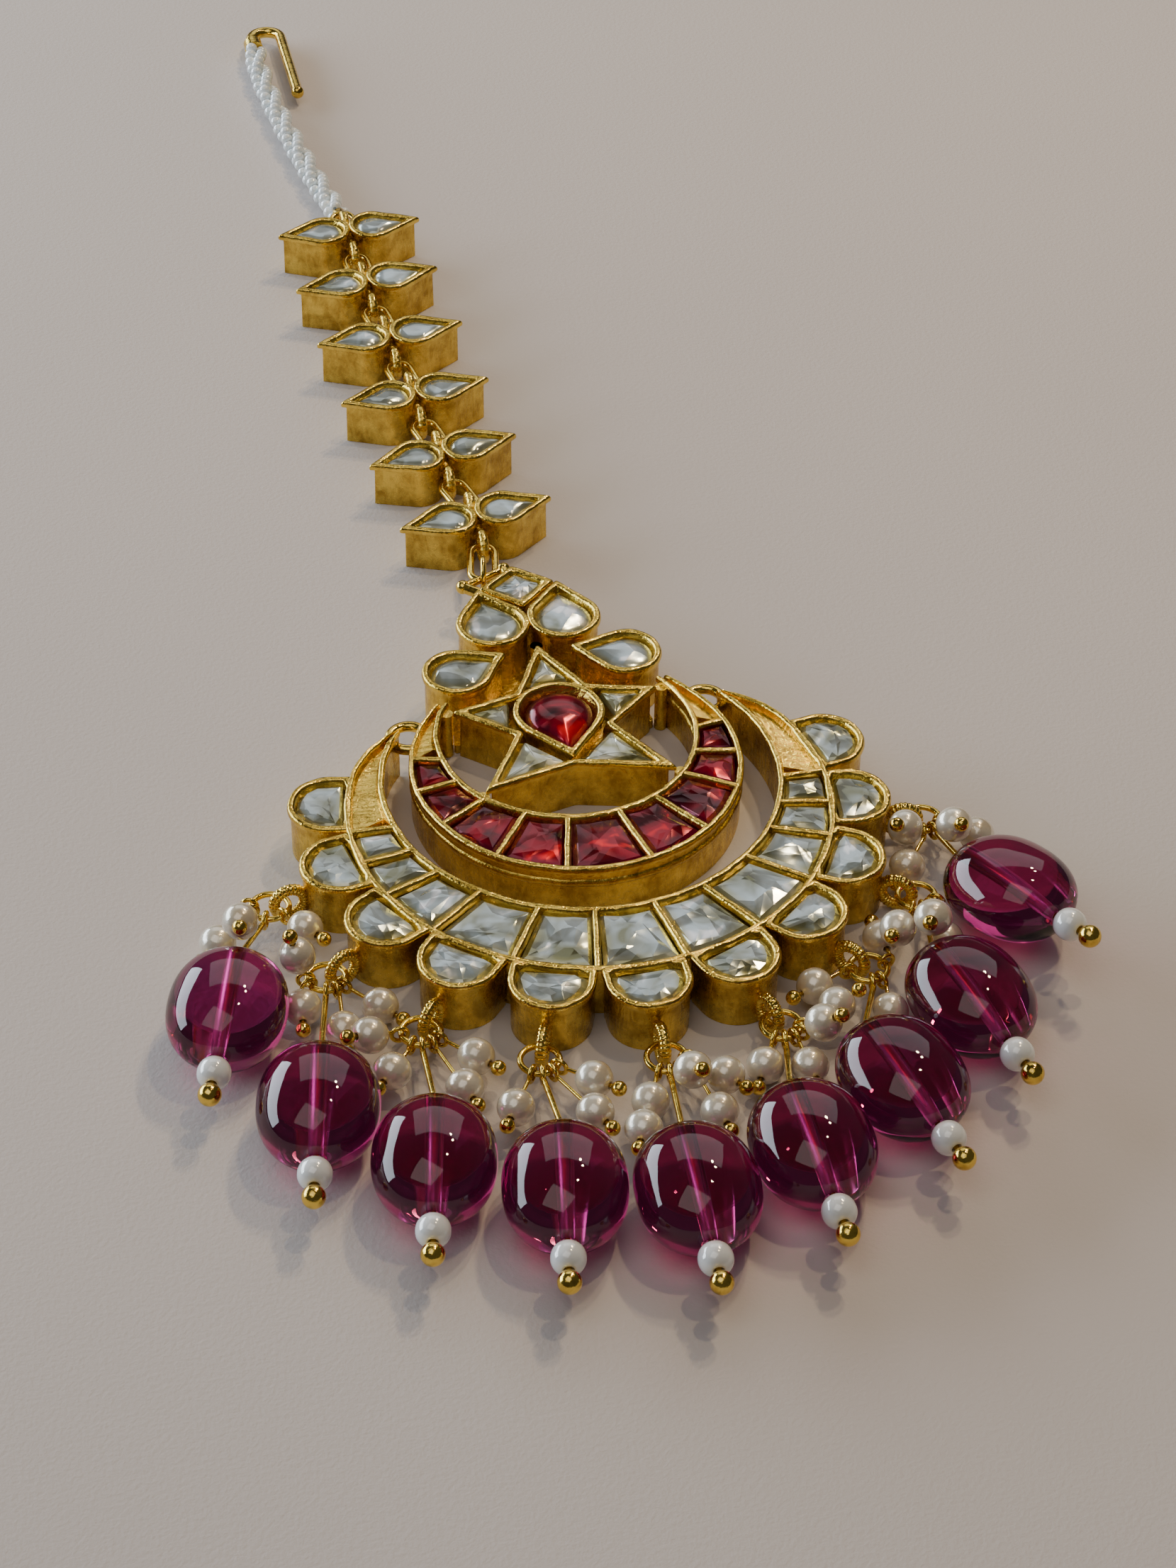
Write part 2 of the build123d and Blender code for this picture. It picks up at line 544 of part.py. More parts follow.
def scallop_outline(bearing):
    """A scallop stone: two corners at the channel's rim and a round end."""
    half = SCALLOP_HALF_WIDTH - RIM_WIDTH - GAP
    root = OUTER_CRESCENT.outer + 1.5 * GAP
    local = [(-half, root), (-half, SCALLOP_CENTRE)]
    local += [(-half * cos(radians(a)), SCALLOP_CENTRE + half * sin(radians(a))) for a in (36, 72, 108, 144)]
    local += [(half, SCALLOP_CENTRE), (half, root)]
    across, out = heading(bearing + 90), heading(bearing)
    return [(x * across.X + r * out.X, x * across.Y + r * out.Y) for x, r in local]


def stone_field(label, outlines):
    """Several stones in one node."""
    cut = [cut_stone(outline, RIM_HEIGHT, FACET_TIERS) for outline in outlines]
    with BuildPart() as field:
        add(cut)
    field.part.label = label
    return field


channel_stones = stone_field("channel_stones", channel_outlines(OUTER_CRESCENT, OUTER_DIVIDERS))
crescent_rubies = stone_field("crescent_rubies", channel_outlines(INNER_CRESCENT, INNER_DIVIDERS))
scallop_outlines = [scallop_outline(bearing) for bearing in scallop_bearings()]
scallop_stones = stone_field("scallop_stones", scallop_outlines)

single_stones = []
for number, base_margin in enumerate(STAR_BASE_MARGINS):
    arm = clipped(star_arm(number, RIM_WIDTH + GAP, base_margin + GAP), 0.12)
    single_stones.append((f"star_stone_{number + 1}", arm, FACET_TIERS))
inner_drop = -(RIM_WIDTH + GAP)
single_stones.append(("centre_ruby", teardrop_points(CENTRE_DROP, inner_drop - 0.35, 11), DOME_TIERS))
for name, drops in (("crown_stone", CROWN_DROPS), ("side_stone", SIDE_DROPS)):
    for number, drop in enumerate(drops, start=1):
        single_stones.append((f"{name}_{number}", teardrop_points(drop, inner_drop, 9), DOME_TIERS))
kite_outline = [(0.0, 31.95), (-1.75, 30.55), (-1.45, 29.9), (-0.2, 28.4), (0.2, 28.4), (1.45, 29.9),
                (1.75, 30.55)]
single_stones.append(("kite_stone", kite_outline, FACET_TIERS))

stones = [channel_stones, crescent_rubies, scallop_stones]
for name, outline, tiers in single_stones:
    cut = cut_stone(outline, RIM_HEIGHT, tiers)
    with BuildPart() as single_stone:
        add(cut)
    single_stone.part.label = name
    stones.append(single_stone)
for number, pair in enumerate(PAIRS, start=1):
    for side, drop in zip("ba", leaf_pair_drops(pair)):
        cut = cut_stone(teardrop_points(drop, inner_drop, 9), LINK_HEIGHT, DOME_TIERS)
        with BuildPart() as leaf_stone:
            add(cut)
        leaf_stone.part.label = f"leaf_stone_{number}{side}"
        stones.append(leaf_stone)


# ---- drops -------------------------------------------------------------------------------------
def turned_bead(centre, axis, half_length, radius, hole):
    """A drilled oval bead: half an ellipse clear of the hole, turned round the pin."""
    with BuildPart() as bead:
        with BuildSketch(Plane(origin=centre, x_dir=axis, z_dir=axis.cross(Vector(0.0, 0.3, 1.0)))):
            Ellipse(half_length, radius)
            with Locations((0, hole)):
                Rectangle(3 * half_length, 3 * radius, align=(Align.CENTER, Align.MAX), mode=Mode.SUBTRACT)
        revolve(axis=Axis(centre, axis))
    return bead.part


def pressed_bead(centre, axis):
    """A large drilled bead: an oval of four arcs, as thick as its edge is rounded, drilled along."""
    length, width, end = BEAD_HALF_LENGTH, BEAD_HALF_WIDTH, BEAD_END_RADIUS
    side = ((length - end) ** 2 + width ** 2 - end ** 2) / (2 * (width - end))
    end_hub, side_hub = Vector(length - end, 0), Vector(0, width - side)
    joint = end_hub + (end_hub - side_hub).normalized() * end
    with BuildPart() as bead:
        with BuildSketch(Plane.XY.offset(-BEAD_HALF_THICKNESS)):
            with BuildLine():
                ThreePointArc((-joint.X, joint.Y), (0, width), (joint.X, joint.Y))
                ThreePointArc((joint.X, joint.Y), (length, 0), (joint.X, -joint.Y))
                ThreePointArc((joint.X, -joint.Y), (0, -width), (-joint.X, -joint.Y))
                ThreePointArc((-joint.X, -joint.Y), (-length, 0), (-joint.X, joint.Y))
            make_face()
        extrude(amount=2 * BEAD_HALF_THICKNESS)
        fillet(bead.faces().filter_by(Axis.Z).edges(), radius=BEAD_EDGE_RADIUS)
        Cylinder(BEAD_HOLE, 3 * length, rotation=(0, 90, 0), mode=Mode.SUBTRACT)
    across = Vector(0, 0, 1).cross(axis)
    return bead.part.moved(Plane(origin=centre, x_dir=axis, z_dir=axis.cross(across)).location)


def drop_axis(drop):
    return heading(drop.axis, drop.rise)


def ring_of(drop):
    """Centre of a drop's jump ring."""
    return Vector(*polar(RING_CENTRE, SCALLOP_PITCH * drop.scallop), RING_HEIGHT)


def bead_centre(drop):
    ring = ring_of(drop)
    flat = ring + heading(drop.bearing) * drop.reach
    return Vector(flat.X, flat.Y, BEAD_HEIGHT + TIP_LIFT * sin(radians(drop.rise)))


def pin_loop(ring, bearing, target):
    """Centre of a pin's loop on its jump ring, and where the pin leaves it towards its target."""
    centre = ring + heading(bearing) * (RING_SIZE + 0.12)
    run = target - centre
    rise = degrees(atan2(run.Z, hypot(run.X, run.Y)))
    return centre, centre + heading(bearing, rise) * LOOP_SIZE


with BuildPart() as drop_rings:
    for drop in DROPS:
        add_ring(ring_of(drop), (0, 0, 1), RING_SIZE, RING_WIRE)
drop_rings.part.label = "drop_rings"

drop_parts = []
for number, drop in enumerate(DROPS, start=1):
    centre, axis = bead_centre(drop), drop_axis(drop)
    bead = pressed_bead(centre, axis)
    with BuildPart() as drop_bead:
        add(bead)
    drop_bead.part.label = f"drop_bead_{number}"
    with BuildPart() as drop_pin:
        top = centre - axis * (BEAD_HALF_LENGTH + 0.35)
        ball = centre + axis * (BEAD_HALF_LENGTH + 2 * TIP_HALF_LENGTH + 2 * BEAD_GAP + TIP_BALL)
        loop, leave = pin_loop(ring_of(drop), drop.bearing, top)
        add_ring(loop, heading(drop.bearing + 90), LOOP_SIZE, BEAD_PIN_WIRE - 0.04)
        add_rod(leave, top, BEAD_PIN_WIRE)
        with Locations(top):
            Sphere(BEAD_PIN_WIRE * 1.3)
        add_rod(top, ball, BEAD_PIN_WIRE)
        with Locations(ball):
            Sphere(TIP_BALL)
    drop_pin.part.label = f"drop_pin_{number}"
    drop_parts += [drop_bead, drop_pin]

turned_tips = []
for drop in DROPS:
    axis = drop_axis(drop)
    centre = bead_centre(drop) + axis * (BEAD_HALF_LENGTH + BEAD_GAP + TIP_HALF_LENGTH)
    turned_tips.append(turned_bead(centre, axis, TIP_HALF_LENGTH, TIP_RADIUS, TIP_HOLE))
with BuildPart() as tip_beads:
    add(turned_tips)
tip_beads.part.label = "tip_beads"


def pearl_line(pin):
    """A pearl pin's loop, its bearing, where the pin leaves it, and the pearls' centres."""
    drop = DROPS[pin.drop]
    bearing = drop.bearing + LOOP_STEP * pin.order
    flat = ring_of(drop) + heading(pin.bearing) * pin.reach
    first = Vector(flat.X, flat.Y, pin.height)
    loop, leave = pin_loop(ring_of(drop), bearing, first)
    run = (first - leave).normalized()
    centres = [first + run * (i * (2 * PEARL_RADIUS + BEAD_GAP)) for i in range(pin.pearls)]
    return loop, bearing, leave, run, centres


turned_pearls = []
for pin in PEARL_PINS:
    loop, bearing, leave, run, centres = pearl_line(pin)
    turned_pearls += [turned_bead(centre, run, PEARL_RADIUS, PEARL_RADIUS, PEARL_HOLE) for centre in centres]
with BuildPart() as pearls:
    add(turned_pearls)
pearls.part.label = "pearls"

with BuildPart() as pearl_pins:
    for pin in PEARL_PINS:
        loop, bearing, leave, run, centres = pearl_line(pin)
        add_ring(loop, heading(bearing + 90), LOOP_SIZE, PEARL_PIN_WIRE + 0.02)
        ball = centres[-1] + run * (PEARL_RADIUS + BEAD_GAP + PEARL_BALL)
        add_rod(leave, ball, PEARL_PIN_WIRE)
        with Locations(ball):
            Sphere(PEARL_BALL)
pearl_pins.part.label = "pearl_pins"


# ---- files -------------------------------------------------------------------------------------
pieces = [pendant_frame, *leaf_links, link_rings, strand_cap, seed_bead_strand, hair_hook, *stones,
          drop_rings, *drop_parts, tip_beads, pearls, pearl_pins]
os.makedirs("parts", exist_ok=True)
for piece in pieces:
    export_step(piece.part, f"parts/{piece.part.label}.step")
print(len(pieces), "pieces")
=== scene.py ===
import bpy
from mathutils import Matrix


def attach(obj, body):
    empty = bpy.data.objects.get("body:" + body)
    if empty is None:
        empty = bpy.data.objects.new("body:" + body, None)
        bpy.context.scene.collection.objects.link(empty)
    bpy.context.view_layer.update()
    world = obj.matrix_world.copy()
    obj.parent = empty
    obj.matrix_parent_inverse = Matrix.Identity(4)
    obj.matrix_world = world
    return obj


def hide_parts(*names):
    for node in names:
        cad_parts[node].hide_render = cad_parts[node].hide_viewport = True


bl_info = {
    "name": "Maang Tikka",
    "version": (1, 0, 0),
    "blender": (4, 5, 0),
    "location": "View3D > Sidebar > Maang Tikka",
    "description": "Builds a forehead pendant's set metal, foiled stones, drops, pearls and seed beads",
    "category": "Add Mesh",
}

from collections import namedtuple

import bpy
import numpy as np
from mathutils import Matrix

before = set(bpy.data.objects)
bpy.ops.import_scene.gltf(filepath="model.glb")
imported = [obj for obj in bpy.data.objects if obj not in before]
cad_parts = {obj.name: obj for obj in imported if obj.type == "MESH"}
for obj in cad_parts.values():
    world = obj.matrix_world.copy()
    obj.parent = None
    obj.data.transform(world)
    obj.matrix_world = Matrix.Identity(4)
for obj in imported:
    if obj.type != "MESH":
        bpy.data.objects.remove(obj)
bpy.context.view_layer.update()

# Lengths are in millimetres until a mesh is made. +Y runs from the pendant to the hook and +Z up
# from the surface that the piece lies on. A bearing is in degrees, from -Y towards +X.
MM = 0.001

# Centres are places on the Y axis, and outer and inner are radii. From the shoulder's bearing the
# outer edge turns in on the smaller horn_radius, up to horn_top. Dividers are bearings at the outer
# rim and at the inner rim, on the +X side.
Crescent = namedtuple("Crescent", "centre outer inner_centre inner shoulder horn_radius horn_top dividers")

# reach runs from the middle of the round end to the point, and turn is that run's angle from +Y.
Teardrop = namedtuple("Teardrop", "x y turn radius reach")

# The middle of a pair of leaves, and the angle that it is turned by.
Pair = namedtuple("Pair", "x y turn")

# A drop hangs from a scallop's jump ring: its bead's middle is at a bearing and a reach from the
# ring, and its pin's own bearing is axis, raised by rise.
Drop = namedtuple("Drop", "scallop bearing reach axis rise")

# A pearl pin starts at a step of its order round a drop's jump ring, and its first pearl is at a
# bearing, reach and height.
PearlPin = namedtuple("PearlPin", "drop order bearing reach height pearls")

# ---- sizes of the metal ------------------------------------------------------------------------
RIM_HEIGHT, LINK_HEIGHT = 4.8, 4.4
RIM_WIDTH, DIVIDER = 0.65, 0.55
FLOOR_DEPTH, HORN_DEPTH = 1.9, 0.7
STONE_MARGIN = RIM_WIDTH + 0.06
CORNER_ROUNDING, LEAF_POINT_ROUNDING = 0.3, 0.25

OUTER_CRESCENT = Crescent(0.0, 19.83, 3.55, 15.9, 111.0, 9.4, 12.1,
                          [(10.5, 10.5), (30.0, 30.0), (50.8, 50.8), (67.1, 67.1), (79.6, 79.6),
                           (91.0, 91.0)])
INNER_CRESCENT = Crescent(5.5, 13.7, 9.34, 10.43, None, None, 14.9,
                          [(15.0, 17.0), (40.0, 44.0), (65.0, 69.0), (85.0, 87.0), (102.6, 102.6)])
SCALLOP_PITCH, SCALLOP_COUNT, SCALLOP_HALF_WIDTH, SCALLOP_CENTRE = 20.3, 11, 3.4, 20.95

# The star, anticlockwise: each tip, the corner before it, and how far the stone of its arm is kept
# from the line between the arm's corners.
STAR_TIPS = [(0.0, 21.6), (-8.8, 13.9), (-8.0, 3.2), (8.0, 3.2), (8.8, 13.9)]
STAR_CORNERS = [(3.05, 15.3), (-3.05, 15.3), (-4.2, 9.8), (0.0, 5.2), (4.2, 9.8)]
STAR_BASE_MARGINS = [1.1, 0.55, -0.1, -0.1, 0.55]
CENTRE_DROP = Teardrop(0.0, 12.25, 180.0, 3.85, 6.05)
CROWN_DROPS = [Teardrop(3.1, 25.1, -4.0, 3.2, 5.1), Teardrop(-3.1, 25.1, 4.0, 3.2, 5.1)]
SIDE_DROPS = [Teardrop(7.3, 19.1, 69.7, 3.0, 4.9), Teardrop(-7.3, 19.1, -69.7, 3.0, 4.9)]
KITE = [(0.0, 33.0), (-3.4, 30.1), (0.0, 27.0), (3.4, 30.1)]
BACK_PLATE = [(8.6, 14.0), (7.6, 19.5), (4.0, 25.0), (0.0, 30.5), (-4.0, 25.0), (-7.6, 19.5), (-8.6, 14.0)]
PLATE_THICKNESS = 0.8
SOLDER_POSTS, POST_RADIUS = [(8.2, 3.0), (9.15, 14.1), (0.0, 21.7)], 0.55
SIDE_LOOP, SIDE_LOOP_SIZE, SIDE_LOOP_WIRE, SIDE_LOOP_HEIGHT = (12.6, 12.9), 1.55, 0.45, 3.2
BAR_CENTRE, BAR_TURN, BAR_LENGTH, BAR_WIRE, BAR_HEIGHT = (-2.35, 33.25), 25.0, 4.4, 0.35, 3.4
BAR_BALL, LUG_WIRE, LUG_REACH = 0.62, 0.5, 1.9
BAIL_CENTRE, BAIL_SIZE, BAIL_WIRE = 25.4, 1.25, 0.45

LEAF_RADIUS, LEAF_REACH, LEAF_OFFSET = 2.45, 4.9, 2.4
EYE_OFFSET, EYE_SIZE, EYE_WIRE, EYE_HEIGHT = 2.95, 1.15, 0.42, 2.6
SOLDER_RADIUS, SOLDER_STRETCH = 0.95, 2.0
PAIRS = [Pair(-1.3, 42.0, 9.0), Pair(-2.4, 52.3, 10.0), Pair(-3.2, 62.4, 6.0),
         Pair(-3.8, 72.7, 5.0), Pair(-4.3, 82.8, 6.0), Pair(-4.5, 92.7, 3.0)]

STRAND_RADIUS = 1.3
STRAND_ROUTE = [(-4.6, 98.7, 2.2), (-5.0, 102.9, 1.5), (-5.8, 108.0, 1.35), (-6.5, 113.5, 1.36),
                (-7.2, 119.2, 1.35), (-7.7, 125.0, 1.37), (-8.1, 130.8, 1.35), (-7.9, 136.2, 1.4)]

# ---- sizes of the drops ------------------------------------------------------------------------
RING_SIZE, RING_CENTRE, RING_HEIGHT = 1.5, 27.0, 1.9
LOOP_SIZE, LOOP_STEP, LOOP_OUTSIDE = 0.62, 28.0, 0.12
BEAD_HALF_LENGTH, BEAD_HALF_WIDTH, BEAD_HALF_THICKNESS, BEAD_HOLE = 5.55, 4.6, 3.6, 0.5
BEAD_HEIGHT, TIP_LIFT, BEAD_POWER = 3.7, 2.0, 2.3
TIP_HALF_LENGTH, TIP_RADIUS, TIP_HOLE, TIP_POWER = 1.25, 1.3, 0.4, 2.2
PEARL_RADIUS, PEARL_HOLE, BEAD_GAP = 1.5, 0.28, 0.1
SEED_HALF_LENGTH, SEED_HOLE, SEED_POWER = 0.5, 0.18, 2.4
BORE_RINGS = 8

DROPS = [Drop(-4, -21.3, 13.85, -16, 0), Drop(-3, -11, 15.75, -11, 0), Drop(-2, -6.4, 15.35, -11, 0),
         Drop(-1, -4.7, 14.95, -10, 0), Drop(0, -5, 15.35, -3, 0), Drop(1, -6, 14.4, 1, 0),
         Drop(2, -5.7, 13.95, 13, 0), Drop(3, 0.5, 13.85, 13, 0), Drop(4, 16.5, 12.45, 24, 10)]

PEARL_PINS = [
    PearlPin(0, -2, -56, 5.5, 1.6, 1), PearlPin(0, -3, -28, 6.2, 5.7, 1), PearlPin(0, 2, 34, 4.1, 2.2, 1),
    PearlPin(1, -3, -90, 2.2, 4.6, 1), PearlPin(1, -2, -41, 3.5, 1.6, 1), PearlPin(1, 1, 4, 5.7, 1.6, 1),
    PearlPin(1, 2, 44, 5.1, 1.6, 1),
    PearlPin(2, -3, -78, 4.1, 3.1, 1), PearlPin(2, -1, -36, 4.9, 2.1, 1), PearlPin(2, 1, 17, 7.2, 2.2, 1),
    PearlPin(2, 2, 43, 5.2, 2.2, 1),
    PearlPin(3, -1, -30, 5.6, 2.2, 1), PearlPin(3, 1, 23, 7.2, 2.3, 1), PearlPin(3, 2, 48, 4.7, 2.2, 1),
    PearlPin(4, -1, -27, 5.0, 2.1, 2), PearlPin(4, 1, 17, 3.8, 3.9, 1), PearlPin(4, 2, 21, 7.0, 2.1, 1),
    PearlPin(4, 3, 51, 4.9, 2.3, 1),
    PearlPin(5, -1, -31, 4.3, 1.6, 1), PearlPin(5, 1, 12, 4.8, 1.9, 1), PearlPin(5, 2, 47, 3.5, 3.9, 1),
    PearlPin(5, 3, 97, 4.5, 2.6, 1),
    PearlPin(6, -3, -75, 4.8, 2.0, 1), PearlPin(6, 1, 5, 4.7, 1.6, 1), PearlPin(6, 4, 150, 4.0, 1.6, 1),
    PearlPin(7, -1, -30, 6.7, 4.2, 1), PearlPin(7, 1, 10, 5.2, 1.6, 1), PearlPin(7, 2, -8, 7.0, 5.9, 1),
    PearlPin(8, -2, -41, 3.5, 3.6, 1), PearlPin(8, -1, -28, 5.8, 1.6, 1), PearlPin(8, 1, 22, 3.9, 4.1, 1),
    PearlPin(8, 2, 57, 4.6, 1.7, 1),
]

# ---- the stage ---------------------------------------------------------------------------------
FLOOR_LEVEL, FLOOR_HALF_WIDTH, FLOOR_NEAR, FLOOR_FAR = -0.03, 900, -900, 1400

# Each lamp's name, place, target, width, height, share of the power, and colour.
LAMPS = [("window", (-450, 330, 150), (0, -10, 20), 700, 230, 4.5, (0.78, 0.89, 1.0)),
         ("back_wall", (200, 760, 620), (0, 0, 0), 900, 500, 1.5, (0.96, 0.97, 1.0)),
         ("soft_fill", (-260, -260, 900), (0, 0, 0), 700, 700, 2.0, (1.0, 0.95, 0.9)),
         ("warm_lamp_1", (189, 243, 369), (0, -30, 0), 18, 18, 0.35, (1.0, 0.76, 0.45)),
         ("warm_lamp_2", (212, 205, 395), (0, -30, 0), 18, 18, 0.35, (1.0, 0.76, 0.45)),
         ("warm_lamp_3", (149, 63, 469), (0, -30, 0), 18, 18, 0.35, (1.0, 0.76, 0.45))]
WORLD_COLOUR, WORLD_STRENGTH = (0.62, 0.6, 0.6, 1.0), 0.10

CAMERA_PLACE = (-48.503, -213.754, 188.489)
CAMERA_FORWARD, CAMERA_UPWARD = (0.16956, 0.75075, -0.63846), (0.12769, 0.62564, 0.76959)
SENSOR_HEIGHT = 36.0

# ---- how meshes are made -----------------------------------------------------------------------
# Seeds of the rims' wave and of the pearls' sizes.
WAVE_SEED, PEARL_SEED = 3, 5

# Angles from which an edge stays crisp, on the set metal and on all that is round.
METAL_CREASE, ROUND_CREASE = 40, 60

# Each finish's material, which make_materials makes.
MATERIALS = {}

# The CAD nodes that stay, with the wire's finish.
WIRE_NODES = ["link_rings", "strand_cap", "hair_hook", "drop_rings", "pearl_pins"] + [
    f"drop_pin_{number}" for number in range(1, len(DROPS) + 1)]


# ---- sizes and colours that a user would change ------------------------------------------------
def colour_prop(name, description, value):
    """A colour property with a default."""
    return bpy.props.FloatVectorProperty(name=name, description=description, subtype="COLOR", size=3,
                                         min=0.0, max=1.0, default=value)


class MetalProps(bpy.types.PropertyGroup):
    rim_colour: colour_prop("Rim", "Gold of the burnished rims", (0.88, 0.62, 0.115))
    # Darker gold of random patches, and the painted shade on the walls and in the recesses.
    patch_and_wall_shade_colour: colour_prop("Wall", "Deeper gold of the walls and recesses", (0.42, 0.25, 0.038))
    rim_roughness: bpy.props.FloatProperty(name="Rim roughness", description="Roughness of the rims",
                                           default=0.11, min=0.0, max=1.0, subtype="FACTOR")
    wave: bpy.props.FloatProperty(name="Hand wave", description="How far rims stray from true",
                                  default=0.035 * MM, min=0.0, unit="LENGTH")


class StoneProps(bpy.types.PropertyGroup):
    clear_colour: colour_prop("Clear", "Foil under the clear stones", (0.30, 0.34, 0.31))
    ruby_colour: colour_prop("Ruby", "Foil under the red stones", (0.10, 0.0, 0.005))
    table_depth: bpy.props.FloatProperty(name="Table depth", default=0.15 * MM, min=0.05 * MM, unit="LENGTH",
                                         description="How far a table lies under its rim")


class DropProps(bpy.types.PropertyGroup):
    glass_colour: colour_prop("Glass", "Colour of the large drops", (0.46, 0.03, 0.19))
    pearl_colour: colour_prop("Pearl", "Body colour of the pearls", (0.84, 0.81, 0.70))
    tip_colour: colour_prop("Tip", "Colour of the small white beads", (0.82, 0.87, 0.90))


class StrandProps(bpy.types.PropertyGroup):
    bead_colour: colour_prop("Seed bead", "Colour of the seed beads", (0.74, 0.82, 0.86))
    plies: bpy.props.IntProperty(name="Plies", default=3, min=2,
                                 description="Rows of beads twisted together")
    twist: bpy.props.FloatProperty(name="Twist", description="Length of one turn of a row",
                                   default=14.0 * MM, min=2 * MM, unit="LENGTH")
    bead_radius: bpy.props.FloatProperty(name="Bead radius", description="Radius of a seed bead",
                                         default=0.62 * MM, min=0.2 * MM, unit="LENGTH")
    bead_pitch: bpy.props.FloatProperty(name="Bead pitch", description="Distance between beads of a row",
                                        default=1.08 * MM, min=0.2 * MM, unit="LENGTH")


class StageProps(bpy.types.PropertyGroup):
    floor_colour: colour_prop("Floor", "Colour of the plain floor", (0.62, 0.57, 0.55))
    lamp_power: bpy.props.FloatProperty(name="Lights", description="Power that every lamp is a share of",
                                        default=1.0, min=0.0, unit="POWER")
    lens: bpy.props.FloatProperty(name="Lens", default=81.75, min=10.0, subtype="DISTANCE_CAMERA",
                                  description="Focal length on a 36 mm high sensor")


# ---- meshes ------------------------------------------------------------------------------------
def add_mesh(name, parts, finish, crease, node, share=None):
    """One object from (points, faces) parts in millimetres, riding on the part's body.

    crease is the angle in degrees from which an edge stays crisp; None leaves every face flat. node
    names the solids that the object stands for. share is each point's nearness to its stone's edge.
    """
    points = np.vstack([p for p, f in parts]) * MM
    starts = np.cumsum([0] + [len(p) for p, f in parts[:-1]])
    faces = [tuple(int(i) + int(s) for i in face) for (p, f), s in zip(parts, starts) for face in f]
    mesh = bpy.data.meshes.new(name)
    mesh.from_pydata(points.tolist(), [], faces)
    if crease is not None:
        mesh.shade_smooth()
        mesh.set_sharp_from_angle(angle=np.radians(crease))
    if share is not None:
        mesh.attributes.new("edge_share", "FLOAT", "POINT").data.foreach_set("value", np.concatenate(share))
    mesh.materials.append(MATERIALS[finish])
    mesh.update()
    piece = bpy.data.objects.new(name, mesh)
    bpy.context.scene.collection.objects.link(piece)
    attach(piece, "root")
    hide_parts(node)
    return piece


def unit(vectors):
    """Vectors, one or a row of them, each divided by its length."""
    vectors = np.asarray(vectors, float)
    return vectors / np.linalg.norm(vectors, axis=-1, keepdims=True)


def full_turn(steps):
    """Angles evenly spaced round a circle, the first not repeated."""
    return np.linspace(0, 2 * np.pi, steps, endpoint=False)


def surface(rings, wrap=False, start=None, end=None):
    """A surface through rings of points, an array of rings by points by 3.

    Point j of ring i joins point j + 1 of its ring and point j of ring i + 1, and each ring is
    closed. With wrap the last ring joins the first. start and end are single points that close the
    first and last ring with a fan.
    """
    rings = np.asarray(rings, float)
    count, size = rings.shape[:2]
    index = np.arange(count * size).reshape(count, size)
    beside = np.roll(index, -1, axis=1)
    following = np.roll(index, -1, axis=0) if wrap else index[1:]
    following_beside = np.roll(beside, -1, axis=0) if wrap else beside[1:]
    here, here_beside = (index, beside) if wrap else (index[:-1], beside[:-1])
    quads = np.stack([here, here_beside, following_beside, following], axis=-1).reshape(-1, 4).tolist()
    points = [rings.reshape(-1, 3)]
    for pole, ring, next_in_ring in ((start, index[0], beside[0]), (end, index[-1], beside[-1])):
        if pole is not None:
            tip = sum(len(p) for p in points)
            points.append(np.asarray(pole, float).reshape(1, 3))
            first, second = (next_in_ring, ring) if pole is start else (ring, next_in_ring)
            quads += [(int(a), int(b), tip) for a, b in zip(first, second)]
    return np.vstack(points), quads


def frames_along(path):
    """Unit side and rise at each point of a path, square to its run: side is level."""
    tangent = unit(np.gradient(path, axis=0))
    side = np.column_stack([tangent[:, 1], -tangent[:, 0], np.zeros(len(path))])
    upright = np.linalg.norm(side, axis=1, keepdims=True) < 1e-3
    side = unit(np.where(upright, (1.0, 0.0, 0.0), side))
    return side, np.cross(tangent, side)


def wire(path, radius):
    """A round wire with closed ends: circles of one radius, square to the path."""
    path = np.asarray(path, float)
    side, rise = frames_along(path)
    angle = full_turn(14)[None, :, None]
    rings = path[:, None] + radius * (np.cos(angle) * side[:, None] + np.sin(angle) * rise[:, None])
    return surface(rings, False, path[0], path[-1])


def ring(centre, normal, size, wire_radius, ribs=0, rib_height=0.0, steps=72):
    """A ring of wire: a circle about the normal, with a wire that swells ribs times round it."""
    normal = unit(normal)
    other = (0.0, 0.0, 1.0) if abs(normal[2]) < 0.9 else (1.0, 0.0, 0.0)
    across = unit(np.cross(normal, other))
    along = np.cross(across, normal)
    turn = full_turn(steps)[:, None]
    out = np.cos(turn) * across + np.sin(turn) * along
    swell = wire_radius * (1 + rib_height * np.cos(ribs * turn))
    angle = full_turn(16)[None, :, None]
    rings = (np.asarray(centre, float) + out[:, None] * (size + swell[:, None] * np.cos(angle))
             + normal * (swell[:, None] * np.sin(angle)))
    return surface(rings, True)


def ball(centre, radius, axis=(0, 0, 1), stretch=1.0):
    """A round or stretched ball: circles about an axis, radius sin(t) wide and stretch cos(t) along."""
    centre, axis = np.asarray(centre, float), unit(axis)
    side = unit(np.cross(axis, (0.3, 0.9, 0.31)))
    rise = np.cross(axis, side)
    t = np.linspace(0, np.pi, 21)[1:-1][:, None, None]
    turn = full_turn(40)[None, :, None]
    rings = (centre - axis * stretch * radius * np.cos(t)
             + radius * np.sin(t) * (np.cos(turn) * side + np.sin(turn) * rise))
    return surface(rings, False, centre - axis * stretch * radius, centre + axis * stretch * radius)


